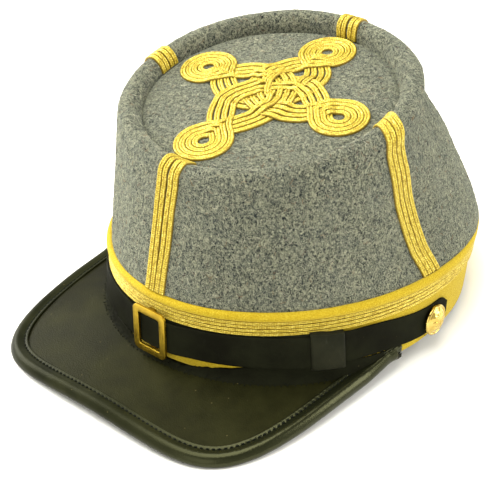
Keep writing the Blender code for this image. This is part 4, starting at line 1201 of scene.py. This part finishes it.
def add_visor():
    """The visor's leather, from under the band to inside its binding."""
    edge = visor_edge(VISOR_INSET, VISOR_COLUMNS)
    angles = linspace(angle_of(edge[0]), angle_of(edge[-1]), len(edge))
    start = band_oval(angles, -VISOR_TUCK, 0.0)[:, :2]
    shares = linspace(0, 1, VISOR_ROWS)[:, None]
    flat = between(start, edge, shares[..., None])
    x, y = flat[..., 0], flat[..., 1]
    soft = waves(points(x, y, 0.0), VISOR_WAVES, 8)
    soft = soft * minimum(1, shares * 4) * minimum(1, (1 - shares) * 6)
    height = visor_height(flat) + soft + end_rise(edge) * clip(beyond_band(flat) / 0.0025, 0, 1)
    sections = concatenate([points(x, y, height), points(x, y, height - VISOR_THICKNESS)[::-3]])
    facts = ("visor_leather_panel", VISOR_LEATHER, "black_leather", ["visor"], 50)
    tube_piece(sections.transpose(1, 0, 2), *facts)


def binding_rim(count):
    """The visor's edge, the way that it faces, its room beside the band, and what climbs the band."""
    edge = visor_edge(0.0, count)
    along = along_line(edge)
    facing = stack([along[:, 1], -along[:, 0]], -1)
    lengths = length_along(edge)
    from_end = minimum(lengths, lengths[-1] - lengths)
    edge = edge - facing * (BINDING_END_STEP * ease((BINDING_END_LENGTH - from_end) / 0.0008))[:, None]
    reaches = linspace(0, BINDING_REACH, 93)
    clear = beyond_band(edge[:, None] - facing[:, None] * reaches[:, None]) > BINDING_CLEARANCE
    room = array([reaches[-1] if row.all() else reaches[np.argmin(row)] for row in clear])
    room = maximum(room, BINDING_LEAST_ROOM)
    return edge, facing, room, clip(BINDING_REACH - room, 0, BINDING_CLIMB)


def binding_points(rim, share, up):
    """Points of the binding: across it as a share of its width, and up from the leather's face."""
    edge, facing, room, climb = rim
    steps = 40
    width = room + climb
    way = linspace(0, 1, steps + 1)[None] * width[:, None]
    bend = ease((way - room[:, None]) / BINDING_BEND + 0.5)
    tilt = BINDING_TILT * bend * ease(climb / 0.0015)[:, None]
    start = zeros((len(edge), 1))
    level, rise = (
        concatenate([start, np.cumsum(part[:, 1:] * width[:, None] / steps, axis=1)], 1)
        for part in (cos(tilt), sin(tilt))
    )
    under = up < -0.0015
    at = minimum(-share * width, room - 0.0008) / width if under else -share + 0 * width
    at = clip(at, 0, 1) * steps
    low = minimum(at.astype(int), steps - 1)
    rows = arange(len(edge))
    level, rise, lean = (
        between(part[rows, low], part[rows, low + 1], at - low) for part in (level, rise, tilt)
    )
    place = edge - facing * (level - up * sin(lean))[:, None]
    height = visor_height(place) + end_rise(edge) + rise + up * cos(lean)
    return points(place[:, 0], place[:, 1], height)


def add_visor_binding():
    """The leather folded over the visor's edge: a thin lip, a sewn channel and a round roll."""
    rim = binding_rim(VISOR_COLUMNS * 3)
    lengths = length_along(rim[0])
    hole = cos(2 * pi * lengths / STITCH_PITCH)
    sections = array([binding_points(rim, share, up) for share, up in BINDING_PROFILE])
    share, up = array(BINDING_PROFILE).T[..., None]
    pull = STITCH_PULL * exp(-(((share + BINDING_SEAM) / 0.07) ** 2)) * (up > -0.0005)
    sections[..., 2] -= pull * hole
    sections = sections.transpose(1, 0, 2)
    sections[..., 2] += waves(sections, BINDING_WAVES, 9)
    near = minimum(lengths, lengths[-1] - lengths)
    scale = maximum(0.45, sqrt(1 - clip(1 - near / 0.0008, 0, 1) ** 2))[:, None, None]
    sections = between(sections.mean(axis=1, keepdims=True), sections, scale)
    facts = ("binding_leather_strip", BINDING_LEATHER, "black_leather", ["visor_binding"], 60)
    tube_piece(sections, *facts)


def capsule(shape, start, end, radius, sides=8, rings=6):
    """A short rounded stitch between two points."""
    along = unit(end - start)
    aside = unit(np.cross(along, (0.0, 0.0, 1.0)))
    up = np.cross(aside, along)
    turns = (arange(sides) * 2 * pi / sides)[:, None]
    sections = []
    for share in arange(rings + 1) / rings:
        half = radius * (1 - abs(2 * share - 1) ** 3) ** 0.5 + 0.00002
        middle = between(start, end, share) + up * radius * 0.6 * sin(pi * share)
        sections.append(middle + half * (aside * cos(turns) + up * sin(turns)))
    shape.tube(array(sections))


def add_binding_stitches():
    """The row of stitches that holds the binding, on both faces of the visor."""
    rim = binding_rim(VISOR_COLUMNS * 3)
    shape = Shape()
    for up in STITCH_HEIGHTS:
        seam = evenly(binding_points(rim, -BINDING_SEAM, up), STITCH_PITCH)
        half = along_line(seam) * STITCH_LENGTH / 2
        for start, end in zip((seam - half)[1:-1], (seam + half)[1:-1]):
            capsule(shape, start, end, STITCH_RADIUS)
    shape.piece("binding_stitches", THREAD, "black_leather", sharp=80)


def add_seam_edge():
    """The visor's edge where it turns up against the foot of the band, ragged in places."""
    angles = linspace(-76, 72, 700)
    even = ease((angles - 20) / 8) * (angles < 57)
    ragged = waves(band_oval(angles, 0.0, 0.0), SEAM_WAVES, 31) * (1 - even)
    height = maximum(periodic(SEAM_EDGE, angles) + ragged, 0.0003)
    fade = ease((75 - abs(angles)) / 6)
    sections = [over_visor(angles, out * fade + GAP, GAP + height * up) for out, up in SEAM_EDGE_SECTION]
    facts = ("visor_seam_edge", STRAP_LEATHER, "black_leather", (), 50)
    tube_piece(array(sections).transpose(1, 0, 2), *facts)


def add_seam_stitches():
    """The stitches that hold the visor to the band: small holes in a row, and a few loose ends."""
    chance = random.Random(5)
    shape = Shape()
    for angle in arange(-62, 62, SEAM_STITCH_ANGLE):
        angle += chance.uniform(-0.3, 0.3)
        out = SEAM_STITCH_OUT + chance.uniform(-0.0003, 0.0003)
        ends = over_visor(angle, out), over_visor(angle + 0.35, out + 0.0003)
        capsule(shape, *ends, 0.00030, sides=6, rings=4)
    for angle in SEAM_LOOSE_ENDS:
        out, height, way = 0.0012, 0.0006, chance.uniform(-1, 1)
        for _ in range(4):
            start = over_visor(angle, out, height)
            angle, out = angle + way * chance.uniform(0.3, 0.9), out + chance.uniform(0.0003, 0.0011)
            height += chance.uniform(-0.0002, 0.0006)
            capsule(shape, start, over_visor(angle, out, height), 0.00016, sides=5, rings=3)
    shape.piece("visor_seam_stitches", THREAD, "black_leather", sharp=80)


def strap_middle(angle):
    return periodic(STRAP_ROUTE, abs(angle), 1)


def strap_width(angle):
    return periodic(STRAP_ROUTE, abs(angle), 2)


def inner_strap(angle):
    """How far out the half that lies on the band is: the keeper's back is under it."""
    start, end = KEEPER_ANGLES
    beyond = maximum(0.0, maximum(start - angle, angle - end))
    return GAP + (KEEPER_THICKNESS + GAP) * (1 - ease((beyond - LIFT_START) / LIFT_FADE))


def outer_strap(angle):
    """How far out the other half is: over the first, and over the slide's bar."""
    over_bar = 1 - ease((abs(angle - BUCKLE_ANGLE) - SLIDE_LIFT_ANGLE) / SLIDE_LIFT_FADE)
    covered = 1 - ease((-angle - STRAP_OVERLAP_ANGLE) / LIFT_FADE)
    return inner_strap(angle) + (STRAP_THICKNESS + GAP) * covered + (SLIDE_BAR_THICKNESS + GAP) * over_bar


def add_strap(side, start, end, outward, shift, seed):
    """One half of the chin strap, with softly rounded edges and a rounded end under its button."""
    angles = linspace(start, end, round(abs(end - start) * 2) + 1)
    half = strap_width(angles) / 2
    from_end = radians(STRAP_END_ANGLE - abs(angles)) * BAND_FOOT_HALF_DEPTH
    half = half * maximum(0.45, sqrt(1 - clip(1 - from_end / half, 0, 1) ** 2))
    section = [
        (outward(angles) + out * STRAP_THICKNESS, strap_middle(angles) + shift + up * half)
        for out, up in STRAP_SECTION
    ]
    sections = band_sections(angles, section).transpose(1, 0, 2)
    sections = sections + outward_at(angles)[:, None] * waves(sections, STRAP_WAVES, seed)[..., None]
    facts = ("strap_half_" + side, STRAP_LEATHER, "strap_leather", ["chin_strap_" + side], 50)
    tube_piece(sections, *facts)


def keeper_ring(near, far, bottom, top, corner):
    """A rounded outline round the strap, as distances out and heights."""
    outline = []
    corners = (far, 1, top, 1), (near, -1, top, 1), (near, -1, bottom, -1), (far, 1, bottom, -1)
    for number, (out, x, up, y) in enumerate(corners):
        for way in radians(90 * number + arange(0, 91, 30)):
            outline.append((out + corner * (cos(way) - x), up + corner * (sin(way) - y)))
    return outline


def add_keeper():
    """The leather loop round both halves of the strap, a little bowed and thick at its edges."""
    start, end = KEEPER_ANGLES
    angles = linspace(start, end, 25)
    bulge = 0.0002 * sin(pi * (angles - start) / (end - start))
    skin = KEEPER_THICKNESS * (0.55 + 0.45 * ease(minimum(angles - start, end - angles) / 0.45))
    back = inner_strap(angles) - KEEPER_THICKNESS - GAP / 2
    front = outer_strap(angles) + STRAP_THICKNESS + GAP
    reach = strap_width(angles) / 2 + KEEPER_MARGIN
    low, high = strap_middle(angles) - STRAP_SHIFT - reach, strap_middle(angles) + reach
    half = KEEPER_THICKNESS / 2
    outer = band_sections(angles, keeper_ring(back, front + skin + bulge, low, high, 0.0010))
    inner = band_sections(angles, keeper_ring(back + skin / 2, front, low + half, high - half, 0.0003))
    grid = concatenate([outer.transpose(1, 0, 2), inner.transpose(1, 0, 2)[::-1]])
    closed_piece(grid, "keeper_loop", KEEPER_WORN_HIGHLIT_LEATHER, "strap_leather", ["strap_keeper"], 60)


def plate_at(angle, out, height):
    """A way to place points on a plane that faces out from the band, and depths over it."""
    origin, facing = band_oval(angle, out, height), outward_at(angle)
    right, up = array([-facing[1], facing[0], 0.0]), array([0.0, 0.0, 1.0])

    def place(x, y, depth):
        return origin + x[..., None] * right + y[..., None] * up + np.asarray(depth)[..., None] * facing

    return place


def rounded_rectangle(width, height, corner, steps=8):
    """Its outline: the points' distances aside, and up."""
    turns = radians(linspace(0, 90, steps + 1) + arange(0, 360, 90)[:, None])
    x, y = array([1, -1, -1, 1])[:, None], array([1, 1, -1, -1])[:, None]
    aside, over = width / 2 - corner, height / 2 - corner
    return array((x * aside + corner * cos(turns), y * over + corner * sin(turns))).reshape(2, -1)


def add_buckle():
    """The brass slide with rounded rails, and the bar behind the strap."""
    half = BUCKLE_THICKNESS / 2
    plane = float(outer_strap(BUCKLE_ANGLE)) + STRAP_THICKNESS + GAP + half
    place = plate_at(BUCKLE_ANGLE, plane, float(strap_middle(BUCKLE_ANGLE)) - STRAP_SHIFT / 2)
    outline = (BUCKLE_WIDTH, BUCKLE_HEIGHT, BUCKLE_CORNER)
    window = (BUCKLE_WIDTH - 2 * BUCKLE_RAIL, BUCKLE_HEIGHT - 2 * BUCKLE_RAIL, BUCKLE_WINDOW_CORNER)
    rings = []
    turns = radians(linspace(0, 90, 5))
    for (width, height, corner), side, order in ((outline, -1, 1), (window, 1, -1)):
        for turn in turns[::order]:
            inset = side * BUCKLE_ROUNDING * (1 - cos(turn))
            flat = rounded_rectangle(width + 2 * inset, height + 2 * inset, corner + inset)
            rings.append(place(*flat, half - BUCKLE_ROUNDING * (1 - sin(turn))))
    rings += [place(*rounded_rectangle(*size), -half) for size in (window, outline)]
    shape = Shape()
    shape.closed(array(rings))
    back = float(inner_strap(BUCKLE_ANGLE)) + STRAP_THICKNESS + GAP - plane
    x, y = rounded_rectangle(SLIDE_BAR_WIDTH, SLIDE_LUG_HEIGHT, SLIDE_CORNER)
    for middle in (SLIDE_LUG_PLACE, -SLIDE_LUG_PLACE):
        shape.tube(array([place(x, y + middle, depth) for depth in (back, GAP - half)]))
    bar = rounded_rectangle(SLIDE_BAR_WIDTH, SLIDE_BAR_HEIGHT, SLIDE_CORNER)
    shape.tube(array([place(*bar, depth) for depth in (back, back + SLIDE_BAR_THICKNESS)]))
    shape.piece("slide_brass", BRASS, "brass", ["buckle"], 35)


def add_button(side, angle):
    """A domed button with a rosette of plain petals and a fluted rim."""
    outward = float(outer_strap(angle) if angle < 0 else inner_strap(angle)) + STRAP_THICKNESS + GAP / 2
    place = plate_at(angle, outward, float(strap_middle(angle)) - BUTTON_DROP)
    profile = array(BUTTON_PROFILE)
    shares = linspace(0.02, len(profile) - 1.1, 60)[:, None]
    radius, height = (interp(shares, arange(len(profile)), column) for column in profile.T)
    turns = arange(BUTTON_SIDES) * 2 * pi / BUTTON_SIDES
    leaf_end = 0.36 + 0.34 * abs(cos(turns * PETALS / 2)) ** 0.7
    leaf = ease((leaf_end - radius) / 0.07) * ease((radius - 0.17) / 0.06)
    vein = 1 - 0.45 * exp(-((sin(turns * PETALS / 2) / 0.16) ** 2))
    boss = ease((0.15 - radius) / 0.05)
    flutes = cos(turns * FLUTES) * exp(-(((radius - 0.93) / 0.03) ** 2))
    relief = (0.00028 * leaf * vein + 0.00030 * boss + 0.00006 * flutes) * (shares < 10)
    flat = radius * BUTTON_RADIUS
    rings = place(flat * cos(turns), flat * sin(turns), height + relief)
    tube_piece(rings, "button_brass_" + side, GILT, "brass", ["button_" + side], 60)


# ---------------------------------------------------------------- stage


def add_floor():
    mesh = bpy.data.meshes.new("floor")
    bm = bmesh.new()
    bmesh.ops.create_grid(bm, x_segments=8, y_segments=8, size=FLOOR_SIZE)
    bm.to_mesh(mesh)
    bm.free()
    mesh.materials.append(make_floor_material())
    new_object("floor", mesh)


def add_light(name, place, size, power, colour):
    """A square soft light that faces the hat."""
    light = bpy.data.lights.new(name, "AREA")
    light.shape = "SQUARE"
    light.size = size
    light.energy = power
    light.color = colour
    made = new_object(name, light)
    made.location = place
    made.rotation_euler = (Vector(LIT_PLACE) - Vector(place)).to_track_quat("-Z", "Y").to_euler()


def add_world():
    """A pale surrounding, brightest low down."""
    world = bpy.data.worlds.new("studio")
    world.use_nodes = True
    tree = world.node_tree
    background = tree.nodes["Background"]
    background.inputs["Strength"].default_value = WORLD_STRENGTH
    kinds = ("TexCoord", "SeparateXYZ", "ValToRGB")
    place, split, ramp = (tree.nodes.new("ShaderNode" + kind) for kind in kinds)
    tree.links.new(place.outputs["Generated"], split.inputs[0])
    tree.links.new(split.outputs["Z"], ramp.inputs["Fac"])
    tree.links.new(ramp.outputs["Color"], background.inputs["Color"])
    for element, (height, tone) in zip(ramp.color_ramp.elements, WORLD_TONES):
        element.position = height
        element.color = (*(tone * part for part in WORLD_TINT), 1)
    bpy.context.scene.world = world


def add_camera():
    """The camera at the photograph's angle, placed in the hat's frame."""
    az, el = CAMERA_AZIMUTH, CAMERA_ELEVATION
    back = Vector((sin(az) * cos(el), -cos(az) * cos(el), sin(el)))
    right = (-back).cross(Vector((0, 0, 1))).normalized()
    up = right.cross(-back)
    rolled_right = right * cos(CAMERA_ROLL) + up * sin(CAMERA_ROLL)
    rolled_up = -right * sin(CAMERA_ROLL) + up * cos(CAMERA_ROLL)
    place = Matrix.Translation(Vector(CAMERA_TARGET) + back * CAMERA_DISTANCE)
    axes = Matrix((rolled_right, rolled_up, back)).transposed().to_4x4()
    camera = bpy.data.cameras.new("camera")
    camera.lens = CAMERA_LENS
    camera.sensor_width = CAMERA_SENSOR
    camera.sensor_fit = "HORIZONTAL"
    camera.clip_start = 0.01
    made = new_object("camera", camera)
    made.matrix_world = STAND @ place @ axes
    bpy.context.scene.camera = made


add_camera()
add_crown_side()
add_crown_top()
add_fibres("wool_fibres_pale", PALE_WOOL, PALE_FIBRES, 41)
add_fibres("wool_fibres_dark", DARK_WOOL, DARK_FIBRES, 42)
add_band()
add_band_braid()
for braid in WALL_BRAIDS:
    add_wall_braid(*braid)
add_top_knot()
add_visor()
add_visor_binding()
add_binding_stitches()
add_seam_edge()
add_seam_stitches()
add_strap("left", STRAP_END_ANGLE, -STRAP_OVERLAP_ANGLE, inner_strap, 0, 21)
add_strap("right", -STRAP_END_ANGLE, STRAP_OVERLAP_ANGLE, outer_strap, -STRAP_SHIFT, 22)
add_keeper()
add_buckle()
add_button("left", BUTTON_ANGLE)
add_button("right", -BUTTON_ANGLE)
add_floor()
add_world()
for light in LIGHTS:
    add_light(*light)
bpy.context.scene.view_settings.view_transform = "Standard"
